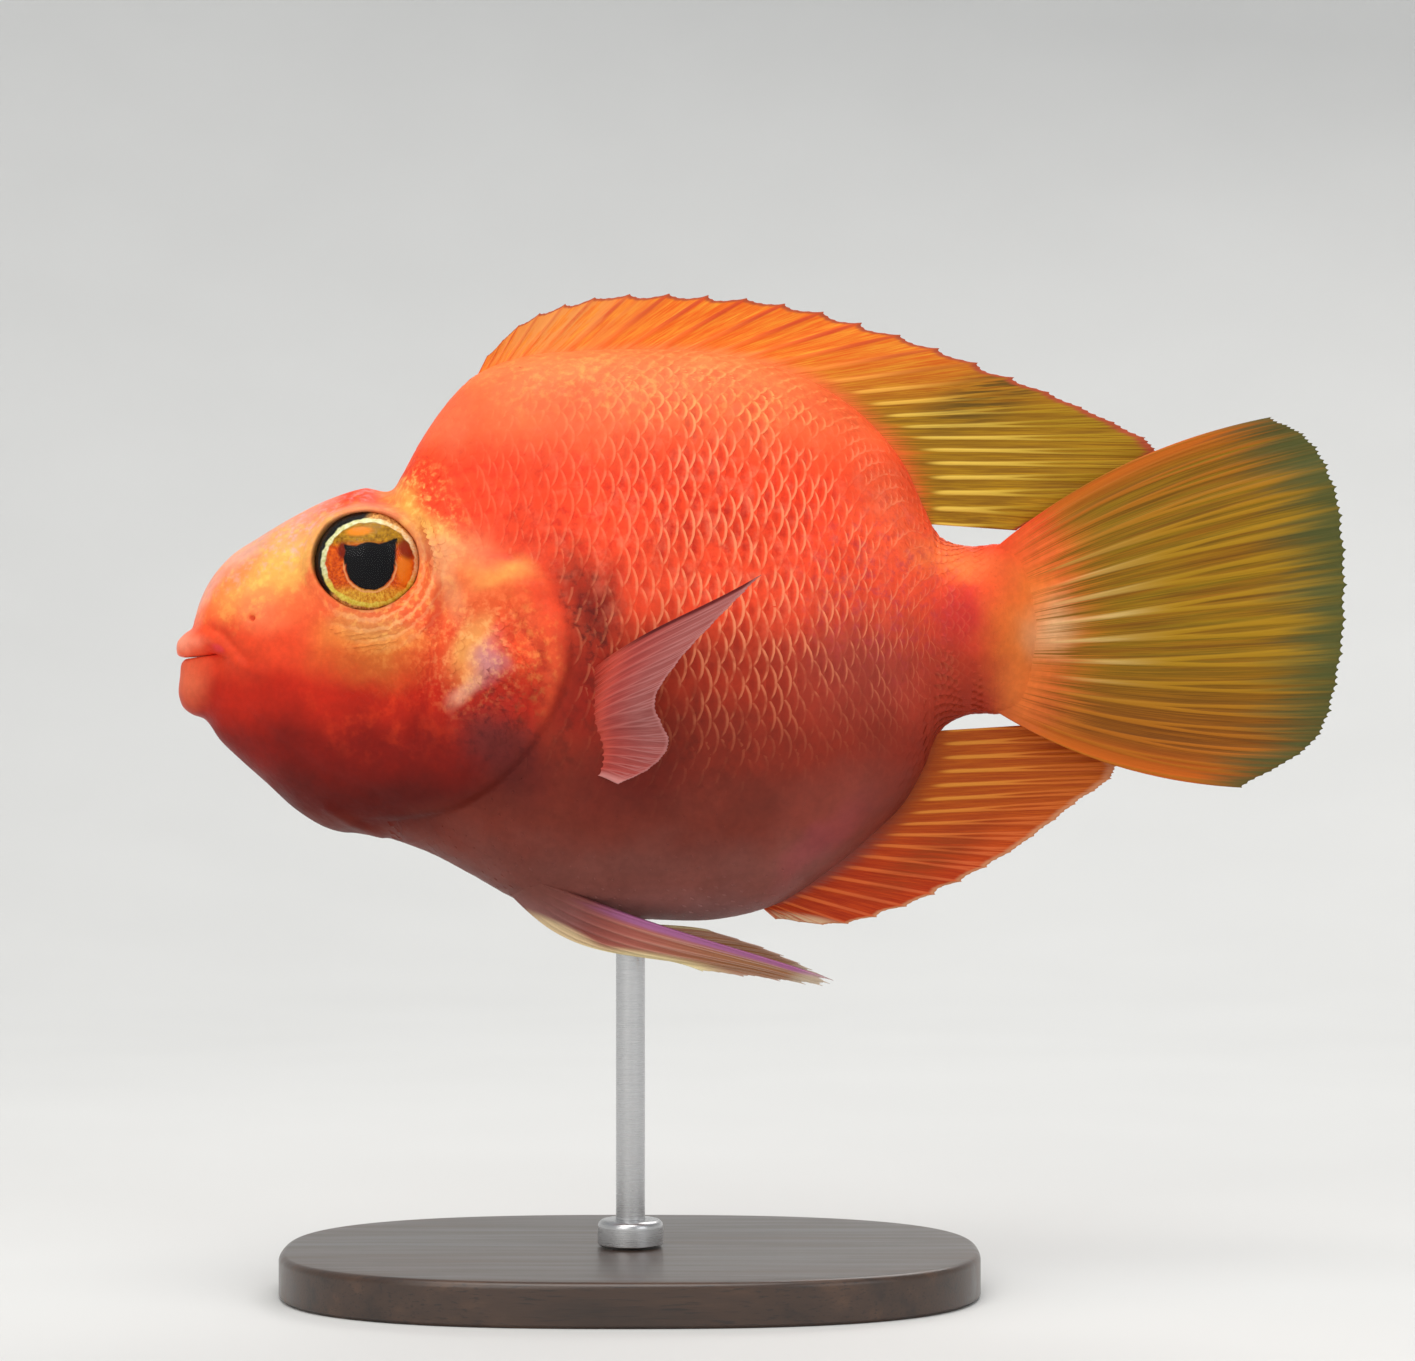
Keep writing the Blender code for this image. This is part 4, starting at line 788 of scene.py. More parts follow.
def scale_finish(name, shown_at, pale_low, pale_high, strength, deepened):
    """The fish's markings with their painted shade and sheen, a pale rear margin, a deeper middle and fine growth
    rings.
    """
    material, tree, shader = new_finish(name)
    place = fish_place(tree)
    colour = node(tree, "ShaderNodeGroup", node_tree=MARKINGS_AND_PAINTED_LIGHT).outputs[0]
    lie = node(tree, "ShaderNodeUVMap", uv_map="scale_lie").outputs[0]
    part = node(tree, "ShaderNodeSeparateXYZ", {0: lie})
    along, across = part.outputs["X"], part.outputs["Y"]
    at = node(tree, "ShaderNodeSeparateXYZ", {0: place})
    height = at.outputs["Z"]
    patchy = stepped(tree, noise(tree, place, 3.4, 3.0, 0.6), 0.36, 0.60, 0.12, 1.0)
    patchy = maths(tree, "MULTIPLY", patchy, stepped(tree, at.outputs["X"], 54.0, 74.0, 0.3, 1.0))
    shown = maths(tree, "MULTIPLY", spot(tree, place, *shown_at), patchy)
    shown = maths(tree, "MULTIPLY", shown, stepped(tree, height, -23.0, 3.0, 0.06, 1.0))
    off_line = maths(tree, "ABSOLUTE", maths(tree, "SUBTRACT", across, 0.5))
    shown = maths(tree, "MULTIPLY", shown, stepped(tree, off_line, 0.34, 0.49, 1.0, 0.0))
    margin = maths(tree, "MULTIPLY", stepped(tree, along, 0.84, 0.93), shown)
    pale = painted(tree, stepped(tree, height, 24.0, 32.0), pale_low, pale_high)
    deep = painted(tree, 1.0, colour, (0.66, 0.38, 0.36, 1.0), "MULTIPLY")
    middle = maths(tree, "MULTIPLY", stepped(tree, along, 0.84, 0.66), shown)
    colour = painted(tree, maths(tree, "MULTIPLY", middle, deepened), colour, deep)
    colour = painted(tree, maths(tree, "MULTIPLY", margin, strength), colour, pale)
    rings = node(tree, "ShaderNodeTexWave", {"Vector": lie, "Scale": 9.0, "Distortion": 1.0})
    set_shader(
        tree, shader, Base_Color=colour,
        Roughness=stepped(tree, noise(tree, place, 2.0, 2.0), 0.3, 0.7, 0.42, 0.56),
        Specular_IOR_Level=0.15,
        Normal=raised(tree, rings.outputs["Fac"], 0.00002, 0.3),
    )
    return material


def attribute(tree, name, kind):
    """A named attribute of the points, as a field."""
    made = node(tree, "GeometryNodeInputNamedAttribute", {"Name": name}, data_type=kind)
    return made.outputs["Attribute"]


def scaling_tree():
    """Sets a scale on each seat, turned along its lie, sized and bent with the body, and places
    its unwrap patch."""
    tree = bpy.data.node_groups.new("lay_scales", "GeometryNodeTree")
    face = tree.interface
    face.new_socket("Geometry", in_out="INPUT", socket_type="NodeSocketGeometry")
    face.new_socket("Scale plate", in_out="INPUT", socket_type="NodeSocketObject")
    face.new_socket("Patch width", in_out="INPUT", socket_type="NodeSocketFloat")
    face.new_socket("Finish", in_out="INPUT", socket_type="NodeSocketMaterial")
    face.new_socket("Geometry", in_out="OUTPUT", socket_type="NodeSocketGeometry")
    start = tree.nodes.new("NodeGroupInput").outputs
    plate = node(tree, "GeometryNodeObjectInfo", {"Object": start["Scale plate"]})
    turn = node(
        tree, "FunctionNodeAxesToRotation",
        {0: attribute(tree, "out", "FLOAT_VECTOR"), 1: attribute(tree, "lie", "FLOAT_VECTOR")},
        primary_axis="Z", secondary_axis="X",
    )
    laid = node(tree, "GeometryNodeInstanceOnPoints", {
        "Points": start["Geometry"], "Instance": plate.outputs["Geometry"],
        "Rotation": turn.outputs[0], "Scale": attribute(tree, "size", "FLOAT_VECTOR"),
    })
    real = node(tree, "GeometryNodeRealizeInstances", {"Geometry": laid.outputs[0]})
    lie_at = attribute(tree, "scale_lie", "FLOAT_VECTOR")
    centred = node(
        tree, "ShaderNodeVectorMath", {0: lie_at, 1: (2.0, 2.0, 0.0), 2: (-1.0, -1.0, 0.0)},
        operation="MULTIPLY_ADD",
    ).outputs[0]
    squared = node(tree, "ShaderNodeVectorMath", {0: centred, 1: centred}, operation="MULTIPLY")
    drop = node(
        tree, "ShaderNodeVectorMath",
        {0: squared.outputs[0], 1: attribute(tree, "bend", "FLOAT_VECTOR")}, operation="DOT_PRODUCT",
    )
    shift = node(
        tree, "ShaderNodeVectorMath",
        {0: attribute(tree, "out", "FLOAT_VECTOR"), 3: drop.outputs["Value"]}, operation="SCALE",
    )
    bent = node(
        tree, "GeometryNodeSetPosition",
        {"Geometry": real.outputs[0], "Offset": shift.outputs[0]},
    )
    local = node(tree, "ShaderNodeVectorMath", {0: lie_at, 1: (0.5, 0.5, 0.0)}, operation="SUBTRACT")
    sized = node(
        tree, "ShaderNodeVectorMath", {0: local.outputs[0], 3: start["Patch width"]}, operation="SCALE",
    )
    on_unwrap = node(
        tree, "ShaderNodeVectorMath", {0: sized.outputs[0], 1: attribute(tree, "unwrap", "FLOAT_VECTOR")},
        operation="ADD",
    )
    mapped = node(tree, "GeometryNodeStoreNamedAttribute", {
        "Geometry": bent.outputs[0], "Name": "OFBake", "Value": on_unwrap.outputs[0],
    }, data_type="FLOAT2", domain="CORNER")
    finished = node(
        tree, "GeometryNodeSetMaterial",
        {"Geometry": mapped.outputs[0], "Material": start["Finish"]},
    )
    end = tree.nodes.new("NodeGroupOutput")
    tree.links.new(finished.outputs[0], end.inputs[0])
    return tree


def made_plain(piece, name):
    """The piece's evaluated shape as a plain mesh, in place of its modifiers."""
    graph = bpy.context.evaluated_depsgraph_get()
    mesh = bpy.data.meshes.new_from_object(piece.evaluated_get(graph))
    mesh.name = name
    bpy.data.objects.remove(piece)
    plain = bpy.data.objects.new(name, mesh)
    bpy.context.scene.collection.objects.link(plain)
    return plain


def lay_scales(name, seats, plate, tree, material):
    """A flank's scales from their seats, as one mesh."""
    place, out, lie, size, unwrap, bend = seats
    mesh = bpy.data.meshes.new(name)
    mesh.from_pydata(placed(place).tolist(), [], [])
    unwrap = np.column_stack([unwrap, np.zeros(len(unwrap))])
    layers = {"out": out, "lie": lie, "size": size, "unwrap": unwrap, "bend": bend * MM}
    for layer, values in layers.items():
        made = mesh.attributes.new(layer, "FLOAT_VECTOR", "POINT")
        made.data.foreach_set("vector", values.astype(np.float32).ravel())
    piece = bpy.data.objects.new(name, mesh)
    bpy.context.scene.collection.objects.link(piece)
    step = piece.modifiers.new("lay_scales", "NODES")
    step.node_group = tree
    given = {"Scale plate": plate, "Patch width": PATCH, "Finish": material}
    for socket in tree.interface.items_tree:
        if socket.in_out == "INPUT" and socket.name in given:
            step[socket.identifier] = given[socket.name]
    return made_plain(piece, name)


plate = scale_plate()
scale_tree = scaling_tree()
flank_paint = scale_finish(
    "painted_scales", ((68.0, 8.0), (40.0, 38.0), -12, 0.6),
    (0.95, 0.32, 0.15, 1.0), (0.96, 0.46, 0.14, 1.0), 0.7, 0.68,
)
face_paint = scale_finish(
    "painted_face_scales", ((33.0, 1.0), (17.0, 12.0), -10, 0.6),
    (0.92, 0.40, 0.10, 1.0), (0.95, 0.45, 0.12, 1.0), 0.3, 0.2,
)
for side, word in SIDES:
    seats = scale_seats(side)
    coats = (
        (f"{word}_back_scales", kept_seats(seats, side, True), flank_paint, ("trunk", "tail_stem")),
        (f"{word}_belly_scales", kept_seats(seats, side, False), flank_paint, ("trunk", "tail_stem")),
        (f"{word}_face_scales", face_seats(side), face_paint, ("head", f"gill_cover_{word}")),
    )
    for name, coat_seats, paint, under in coats:
        coat = lay_scales(name, coat_seats, plate, scale_tree, paint)
        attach(coat, "root")
        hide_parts(*under)
bpy.data.objects.remove(plate)

# Eyes. Each is a painted ball with its iris, pupil and lens under a clear glassy cornea, set
# into the orbit and held there by the orbit's rim.

EYE_SIDES, EYE_RINGS = 96, 44
IRIS_DEPTH = 4.3  # of the painted ball, under the cornea
LENS_RADIUS, LENS_RISE = 3.4, 0.2
# On the painted face, in millimetres rearwards and up from its middle
IRIS_MIDDLE, IRIS_REACH = (0.5, -0.24), (6.5, 5.9)
PUPIL_MIDDLE, PUPIL_RADIUS = (0.67, -0.87), 3.2


def turned(profile, centre, directions, sides):
    """Rings of points turned round an axis from a profile of (radius, height)."""
    first, second, axis = directions
    angles = 2 * math.pi * np.arange(sides) / sides
    spokes = np.cos(angles)[:, None] * first + np.sin(angles)[:, None] * second
    return np.array([centre + radius * spokes + height * axis for radius, height in profile])


def eye_profile(depth, lens=0.0, start=-70.0):
    """A ball's section as (radius, height), with a lens raised in its middle."""
    bends = np.radians(np.linspace(start, 89.9, EYE_RINGS))
    radius, height = EYE_RADIUS * 0.995 * np.cos(bends), depth * np.sin(bends)
    return np.stack([radius, height + lens * (1 - ease(0.75, 1.0, radius / LENS_RADIUS))], axis=1)


def eye_place(tree):
    """The place on an eye's painted face in millimetres, rearwards and up."""
    inputs = {
        "Vector": node(tree, "ShaderNodeUVMap", uv_map="eye_face").outputs[0],
        "Location": (-10.0, -10.0, 0.0), "Scale": (20.0, 20.0, 1.0),
    }
    return node(tree, "ShaderNodeMapping", inputs, vector_type="POINT").outputs[0]


def oval_share(tree, at, middle, reach, turn=0.0):
    """How far a place is from an oval's middle, over the oval's reach."""
    inputs = {
        "Vector": at, "Location": (*middle, 0.0), "Rotation": (0.0, 0.0, math.radians(turn)),
        "Scale": (*reach, 1.0),
    }
    inside = node(tree, "ShaderNodeMapping", inputs, vector_type="TEXTURE").outputs[0]
    return node(tree, "ShaderNodeVectorMath", {0: inside}, operation="LENGTH").outputs["Value"]


def dab(tree, at, colour, over, middle, reach, turn=0.0, strength=1.0):
    """A soft oval dab of colour."""
    share = stepped(tree, oval_share(tree, at, middle, reach, turn), 0.5, 1.1, strength, 0.0)
    return painted(tree, share, colour, over)


def iris_finish():
    """A black pupil with a squared top, a red, olive and gold iris, and a thin pale ring."""
    material, tree, shader = new_finish("painted_iris")
    at = eye_place(tree)
    part = node(tree, "ShaderNodeSeparateXYZ", {0: at})
    rear, up = part.outputs["X"], part.outputs["Y"]
    wander = maths(tree, "SUBTRACT", noise(tree, at, 1.1, 4.0), 0.5)
    ring_share = maths(tree, "MULTIPLY_ADD", wander, 0.14, oval_share(tree, at, IRIS_MIDDLE, IRIS_REACH))
    pupil_away = maths(tree, "MULTIPLY_ADD", wander, 0.5, oval_share(tree, at, PUPIL_MIDDLE, (1.0, 1.0)))
    from_rear = maths(tree, "SUBTRACT", rear, PUPIL_MIDDLE[0])
    from_up = maths(tree, "SUBTRACT", up, PUPIL_MIDDLE[1])
    spokes = maths(tree, "ARCTAN2", from_up, from_rear)
    streak_at = node(tree, "ShaderNodeCombineXYZ", {0: spokes, 1: maths(tree, "MULTIPLY", pupil_away, 0.14)})
    streaks = stepped(tree, noise(tree, streak_at.outputs[0], 0.09, 5.0, 0.7), 0.3, 0.7)

    red = painted(tree, streaks, (0.50, 0.020, 0.002, 1.0), (0.93, 0.16, 0.008, 1.0))
    olive = painted(tree, streaks, (0.19, 0.075, 0.002, 1.0), (0.58, 0.29, 0.012, 1.0))
    gold = painted(tree, streaks, (0.60, 0.15, 0.004, 1.0), (0.96, 0.58, 0.06, 1.0))
    iris = painted(tree, stepped(tree, up, 1.4, 2.8), red, olive)
    iris = painted(tree, stepped(tree, up, -3.0, -4.6), iris, gold)
    iris = dab(tree, at, iris, (0.93, 0.26, 0.01, 1.0), (-0.9, 3.9), (2.2, 0.8), 4, 0.85)
    iris = dab(tree, at, iris, (0.95, 0.24, 0.01, 1.0), (5.2, -1.2), (1.2, 2.6), 0, 0.85)
    # A painted shadow beside the pupil's upper front corner
    iris = dab(tree, at, iris, (0.16, 0.008, 0.003, 1.0), (-3.0, 1.3), (0.9, 1.5), 0, 0.9)
    iris = dab(tree, at, iris, (0.22, 0.012, 0.003, 1.0), (5.4, 1.6), (1.2, 1.8), 20, 0.85)
    thin = stepped(tree, maths(tree, "ABSOLUTE", maths(tree, "SUBTRACT", pupil_away, 3.45)), 0.05, 0.2, 0.7, 0.0)
    thin = maths(tree, "MULTIPLY", thin, stepped(tree, from_up, 1.4, 0.2))
    iris = painted(tree, thin, iris, (0.90, 0.42, 0.16, 1.0))

    lime = painted(tree, streaks, (0.62, 0.62, 0.20, 1.0), (1.0, 0.98, 0.66, 1.0))
    warm = painted(tree, streaks, (0.93, 0.46, 0.12, 1.0), (0.98, 0.80, 0.50, 1.0))
    lemon = painted(tree, streaks, (0.70, 0.46, 0.02, 1.0), (0.95, 0.80, 0.14, 1.0))
    ring = painted(tree, stepped(tree, rear, 0.5, 3.6), lime, warm)
    ring = painted(tree, stepped(tree, up, -1.0, -3.4), ring, lemon)
    broken = stepped(tree, noise(tree, at, 1.6, 3.0), 0.28, 0.46, 0.35, 1.0)
    iris = painted(tree, maths(tree, "MULTIPLY", stepped(tree, ring_share, 0.90, 0.93), broken), iris, ring)

    fleck = stepped(tree, noise(tree, at, 0.5, 4.0, 0.7), 0.35, 0.65)
    lid = painted(tree, fleck, (0.42, 0.13, 0.03, 1.0), (0.95, 0.52, 0.15, 1.0))
    ahead = maths(tree, "MULTIPLY_ADD", rear, -0.9, maths(tree, "MULTIPLY", up, 0.42))
    outside = painted(tree, stepped(tree, ahead, 1.8, 3.0), lid, (0.006, 0.006, 0.006, 1.0))
    iris = painted(tree, stepped(tree, ring_share, 1.0, 1.035), iris, outside)

    bent = maths(tree, "MULTIPLY_ADD", wander, 0.9, from_rear)
    top = maths(tree, "MULTIPLY_ADD", bent, 0.14, 2.75)
    top = maths(tree, "MULTIPLY_ADD", maths(tree, "MULTIPLY", bent, bent), 0.062, top)
    block = maths(tree, "MULTIPLY", stepped(tree, maths(tree, "ABSOLUTE", bent), 3.3, 3.6, 1.0, 0.0),
                  stepped(tree, maths(tree, "SUBTRACT", from_up, top), -0.15, 0.15, 1.0, 0.0))
    block = maths(tree, "MULTIPLY", block, stepped(tree, from_up, -0.2, 0.4))
    pupil = maths(tree, "MAXIMUM", stepped(tree, pupil_away, PUPIL_RADIUS - 0.1, PUPIL_RADIUS + 0.1, 1.0, 0.0), block)
    colour = painted(tree, pupil, iris, (0.002, 0.002, 0.003, 1.0))
    set_shader(
        tree, shader, Base_Color=colour, Roughness=stepped(tree, streaks, 0.0, 1.0, 0.35, 0.5),
        Specular_IOR_Level=0.12, Normal=raised(tree, streaks, 0.0001, 0.3),
    )
    return material


def cornea_finish():
    """Clear varnish-like dome that lets the iris through and mirrors the lamps."""
    material, tree, shader = new_finish("clear_cornea")
    tree.nodes.remove(shader)
    clear = node(tree, "ShaderNodeBsdfTransparent")
    mirror = node(tree, "ShaderNodeBsdfGlossy", {"Roughness": 0.04})
    share = node(tree, "ShaderNodeFresnel", {"IOR": 1.15})
    both = node(tree, "ShaderNodeMixShader", {0: share.outputs[0], 1: clear.outputs[0], 2: mirror.outputs[0]})
    tree.links.new(both.outputs[0], tree.nodes["Material Output"].inputs["Surface"])
    return material


iris_paint, cornea_clear = iris_finish(), cornea_finish()
for side, word in SIDES:
    centre, directions = eye_frame(side)
    ball = turned(eye_profile(IRIS_DEPTH, LENS_RISE), centre, directions, EYE_SIDES)
    vertices, faces = closed_grid(ball)
    rearwards = directions[0] if directions[0][0] > 0 else -directions[0]
    face_at = np.stack([(vertices - centre) @ rearwards, (vertices - centre) @ directions[1]], axis=1)
    eye = make_mesh(f"{word}_eye", vertices, faces, iris_paint, {"eye_face": face_at / 20 + 0.5})
    dome = turned(eye_profile(EYE_DEPTH, start=8.0), centre, directions, EYE_SIDES)
    cornea = make_mesh(f"{word}_cornea", *closed_grid(dome), cornea_clear)
    for piece in (eye, cornea):
        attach(piece, "root")
        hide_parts(f"eye_{word}")

# Dorsal, anal and tail fins. Thin webs of skin on bony rays: stiff single spines in front, and
# soft rays behind that branch twice, all rooted in the body's middle plane.

DORSAL_RAYS = (
    (41.2, 35.4, 42.3, 37.6), (44.5, 36.9, 48.3, 42.9), (50.4, 38.0, 58.0, 45.8),
    (60.7, 38.5, 71.7, 46.0), (71.7, 38.2, 85.4, 44.4), (81.3, 36.4, 99.2, 40.5),
    (89.5, 32.8, 112.9, 35.5), (94.8, 28.8, 125.2, 30.3), (98.2, 25.0, 134.9, 24.9),
    (101.2, 20.0, 128.2, 20.2), (103.6, 14.4, 115.2, 13.6),
)
TAIL_RAYS = (
    (113.2, 11.0, 149.9, 29.0), (113.3, 8.0, 155.5, 25.6), (113.4, 4.6, 158.9, 18.2),
    (113.4, -0.2, 160.0, 6.0), (113.4, -4.9, 159.0, -6.3), (113.3, -8.3, 155.8, -15.4),
    (113.2, -11.0, 145.9, -21.8),
)
ANAL_RAYS = (
    (80.5, -38.7, 82.0, -40.0), (83.0, -37.5, 92.0, -40.6), (88.6, -33.9, 104.0, -36.6),
    (94.0, -29.6, 114.5, -30.8), (98.6, -25.4, 123.6, -24.2), (102.2, -19.7, 129.2, -18.9),
    (104.6, -14.0, 121.0, -13.0),
)
ROOT_SINK, TAIL_SINK, TAIL_BOW = 2.2, 3.0, 0.075
MEMBRANE_HALF, RAY_RISE = 0.10, 0.17


def ray_ridges(across, steps, count, spines, width=0.20):
    """How far each point stands up a ray, from 0 on the web to 1 on the ray's crest."""
    place = across * (count - 1)
    number = np.clip(np.round(place), 0, count - 1)
    off = (place - number)[:, None]
    soft = (number >= spines)[:, None]
    first = np.where(soft, 0.17 * ease(0.30, 0.75, steps)[None, :], 0.0)
    second = np.where(soft, 0.085 * ease(0.62, 1.0, steps)[None, :], 0.0)
    narrow = width * (1 - 0.55 * steps)[None, :] * np.where(soft, 1 - 0.4 * ease(0.3, 0.7, steps), 1)
    height = np.zeros(np.broadcast(off, narrow).shape)
    for lean in (-1, 1):
        for branch in (-1, 1):
            centre = lean * first + branch * second
            height = np.maximum(height, np.exp(-(((off - centre) / narrow) ** 2)))
    return height


def middle_surface(control, lean, bow=0.0, sink=ROOT_SINK):
    """The surface of a fin near the middle plane, as a function of places across and along it."""
    control = np.array(control, float)
    places = np.linspace(0, 1, len(control))

    def surface(across, steps):
        rows = smooth(places, control, across)
        root, tip = rows[:, :2], rows[:, 2:]
        run = tip - root
        length = np.linalg.norm(run, axis=1, keepdims=True)
        start = root - run / length * sink
        path = start[:, None] + steps[..., None] * (tip - start)[:, None]
        side = np.stack([-run[:, 1], run[:, 0]], axis=1)
        bend = 4 * steps * (1 - steps) * bow * (1 - 2 * across)[:, None]
        path = path + bend[..., None] * side[:, None]
        x, h = path[..., 0], path[..., 1]
        return np.stack([x, lean(x, h), h], axis=-1)

    return surface


def web_reach(across, count, notch, fray):
    """How far out the web's edge reaches, with a dip between rays and frayed branch tips."""
    phase = across * (count - 1)
    between = np.abs(np.sin(math.pi * phase)) ** 0.8
    uneven = 1 + 0.35 * np.sin(phase * 2.4 + 1.0) * np.sin(phase * 0.9)
    return 1 - notch(across) * between * uneven - fray * np.abs(np.sin(4 * math.pi * phase))


def fin_mesh(
    name, surface, count, spines, notch, material, root_half, per_ray=10, along=60, ripple=0.0,
    fray=0.0,
):
    """A closed fin: a thin web that follows its surface, with its rays raised on both faces."""
    across = np.linspace(0, 1, (count - 1) * per_ray + 1)
    steps = np.linspace(0, 1, along + 1)
    reach = web_reach(across, count, notch, fray)
    sheet = surface(across, steps[None, :] * reach[:, None])
    normals = np.cross(np.gradient(sheet, axis=0), np.gradient(sheet, axis=1))
    normals /= np.maximum(np.linalg.norm(normals, axis=-1, keepdims=True), 1e-9)
    ridge = ray_ridges(across, steps, count, spines) * ease(0.06, 0.26, steps)[None, :]
    wave = np.sin(2 * math.pi * across * (count - 1) * 0.5)[:, None] * steps[None, :] ** 1.5
    slow = np.sin(2 * math.pi * (across * 3.3 + 0.2))[:, None] * steps[None, :] ** 2
    sheet = sheet + normals * (ripple * (0.35 * wave + slow))[..., None]
    web = MEMBRANE_HALF + (root_half - MEMBRANE_HALF) * (1 - steps) ** 4
    half = web[None, :] + RAY_RISE * ridge * (1 - 0.6 * steps[None, :])
    half *= (1 - 0.7 * ease(0.97, 1.0, steps))[None, :]
    front, back = sheet - normals * half[..., None], sheet + normals * half[..., None]
    wide, tall = sheet.shape[:2]
    vertices = np.vstack([front.reshape(-1, 3), back.reshape(-1, 3)])
    shift = wide * tall
    i, j = np.meshgrid(np.arange(wide - 1), np.arange(tall - 1), indexing="ij")
    a = (i * tall + j).ravel()
    quads = np.stack([a, a + 1, a + tall + 1, a + tall], axis=1)
    rim = [k * tall for k in range(wide)]
    rim += [(wide - 1) * tall + k for k in range(1, tall)]
    rim += [k * tall + tall - 1 for k in range(wide - 2, -1, -1)]
    rim += [k for k in range(tall - 2, 0, -1)]
    rim = np.array(rim)
    walls = np.stack([rim, np.roll(rim, -1), np.roll(rim, -1) + shift, rim + shift], axis=1)
    faces = np.vstack([quads, quads[:, ::-1] + shift, walls])
    if signed_volume(vertices, faces) < 0:
        faces = faces[:, ::-1]
    lie = np.stack(np.broadcast_arrays(across[:, None], steps[None, :]), axis=-1).reshape(-1, 2)
    ray = ridge.ravel()
    return make_mesh(
        name, vertices, faces.tolist(), material,
        {"fin_lie": np.vstack([lie, lie])}, {"ray": np.concatenate([ray, ray])},
    )


def signed_volume(vertices, quads):
    a, b, c, d = (vertices[quads[:, k]] for k in range(4))
    centre = vertices.mean(0)
    a, b, c, d = a - centre, b - centre, c - centre, d - centre
    return float((np.cross(a, b) * c).sum() + (np.cross(a, c) * d).sum())


def fin_parts(tree):
    """Places across and along a fin from 0 to 1, and how much a point is ray."""
    lie = node(tree, "ShaderNodeUVMap", uv_map="fin_lie").outputs[0]
    part = node(tree, "ShaderNodeSeparateXYZ", {0: lie})
    ray = node(tree, "ShaderNodeAttribute", attribute_name="ray").outputs["Fac"]
    return lie, part.outputs["X"], part.outputs["Y"], ray


def streaked(tree, lie, fine, broad, low=0.3, high=0.7):
    """Streaks along the rays: a fine and a broad share from 0 to 1."""
    shares = []
    for scale in (fine, broad):
        at = node(tree, "ShaderNodeMapping", {"Vector": lie, "Scale": (*scale, 1.0)}).outputs[0]
        shares.append(stepped(tree, noise(tree, at, 1.0, 3.0, 0.6), low, high))
    return shares


def spiny_finish(name, front, back, edge, shares, touches):
    """Streaked web and rays that change from the spiny part to the soft part behind it.

    Front and back are each the web's two colours and the rays' colours, near and far."""
    material, tree, shader = new_finish(name)
    lie, across, along, ray = fin_parts(tree)
    fine, broad = streaked(tree, lie, (260.0, 3.0), (90.0, 2.0))
    behind = stepped(tree, across, *shares)
    tones = []
    for web, web_deep, bone, bone_far in (front, back):
        tone = painted(tree, fine, (*web, 1.0), (*web_deep, 1.0))
        tone = painted(tree, maths(tree, "MULTIPLY", broad, 0.6), tone, (*web_deep, 1.0))
        ray_tone = painted(tree, stepped(tree, along, 0.3, 0.8), (*bone, 1.0), (*bone_far, 1.0))
        tones.append((tone, ray_tone))
    web = painted(tree, behind, tones[0][0], tones[1][0])
    bone = painted(tree, behind, tones[0][1], tones[1][1])
    place = fish_place(tree)
    for spot_at, shade in touches:
        share = maths(tree, "MULTIPLY", spot(tree, place, *spot_at), stepped(tree, broad, 0.2, 0.6, 0.25, 0.9))
        web = painted(tree, share, web, (*shade, 1.0))
        bone = painted(tree, maths(tree, "MULTIPLY", share, 0.6), bone, (*shade, 1.0))
    root = node(tree, "ShaderNodeGroup", node_tree=MARKINGS_AND_PAINTED_LIGHT).outputs[0]
    colour = painted(tree, stepped(tree, ray, 0.25, 0.8, 0.0, 0.85), web, bone)
    near_root = maths(tree, "MULTIPLY_ADD", behind, 0.12, maths(tree, "MULTIPLY_ADD", fine, 0.08, along))
    colour = painted(tree, stepped(tree, near_root, 0.10, 0.34, 1.0, 0.0), colour, root)
    colour = painted(tree, stepped(tree, along, 0.94, 0.985), colour, (*edge, 1.0))
    set_shader(
        tree, shader, Base_Color=colour, Roughness=stepped(tree, fine, 0.0, 1.0, 0.40, 0.55),
        Specular_IOR_Level=0.15,
        Normal=raised(tree, fine, 0.00004, 0.4),
    )
    return material


def spiny_notch(spine, soft, share):
    return lambda across: spine + (soft - spine) * ease(share - 0.08, share + 0.08, across)


def dorsal_lean(x, h):
    return 2.6 * ease(96.0, 134.0, x)


def tail_lean(x, h):
    return -4.2 * np.clip((x - 113.0) / (TOTAL_LENGTH - 113.0), 0, 1) ** 2


def anal_lean(x, h):
    return 2.6 * ease(98.0, 124.0, x)


dorsal_paint = spiny_finish(
    "dorsal_web",
    ((0.88, 0.34, 0.030), (0.82, 0.12, 0.010), (0.88, 0.15, 0.02), (0.62, 0.06, 0.02)),
    ((0.48, 0.25, 0.007), (0.23, 0.10, 0.005), (0.82, 0.54, 0.08), (0.42, 0.24, 0.010)),
    (0.42, 0.075, 0.03), (0.46, 0.72), (
        (((112.0, 32.5), (13.0, 4.0), 24, 0.8), (0.11, 0.060, 0.008)),
        (((51.0, 42.0), (17.0, 6.5), 24, 1.0), (0.80, 0.30, 0.07)),
    ),
)
dorsal = fin_mesh(
    "spiny_dorsal_fin", middle_surface(DORSAL_RAYS, dorsal_lean), 27, 17,
    spiny_notch(0.06, 0.012, 17 / 27), dorsal_paint, 0.85, per_ray=12, ripple=0.22, fray=0.01,
)
anal_paint = spiny_finish(
    "anal_web",
    ((0.58, 0.060, 0.005), (0.36, 0.024, 0.003), (0.74, 0.14, 0.03), (0.64, 0.11, 0.03)),
    ((0.50, 0.11, 0.005), (0.32, 0.045, 0.003), (0.68, 0.25, 0.03), (0.58, 0.13, 0.015)),
    (0.56, 0.22, 0.10), (0.35, 0.8), (
        (((104.0, -31.0), (12.0, 3.0), 30, 0.8), (0.30, 0.04, 0.004)),
        (((85.5, -40.0), (7.0, 0.9), -8, 0.8), (0.72, 0.50, 0.30)),
    ),
)
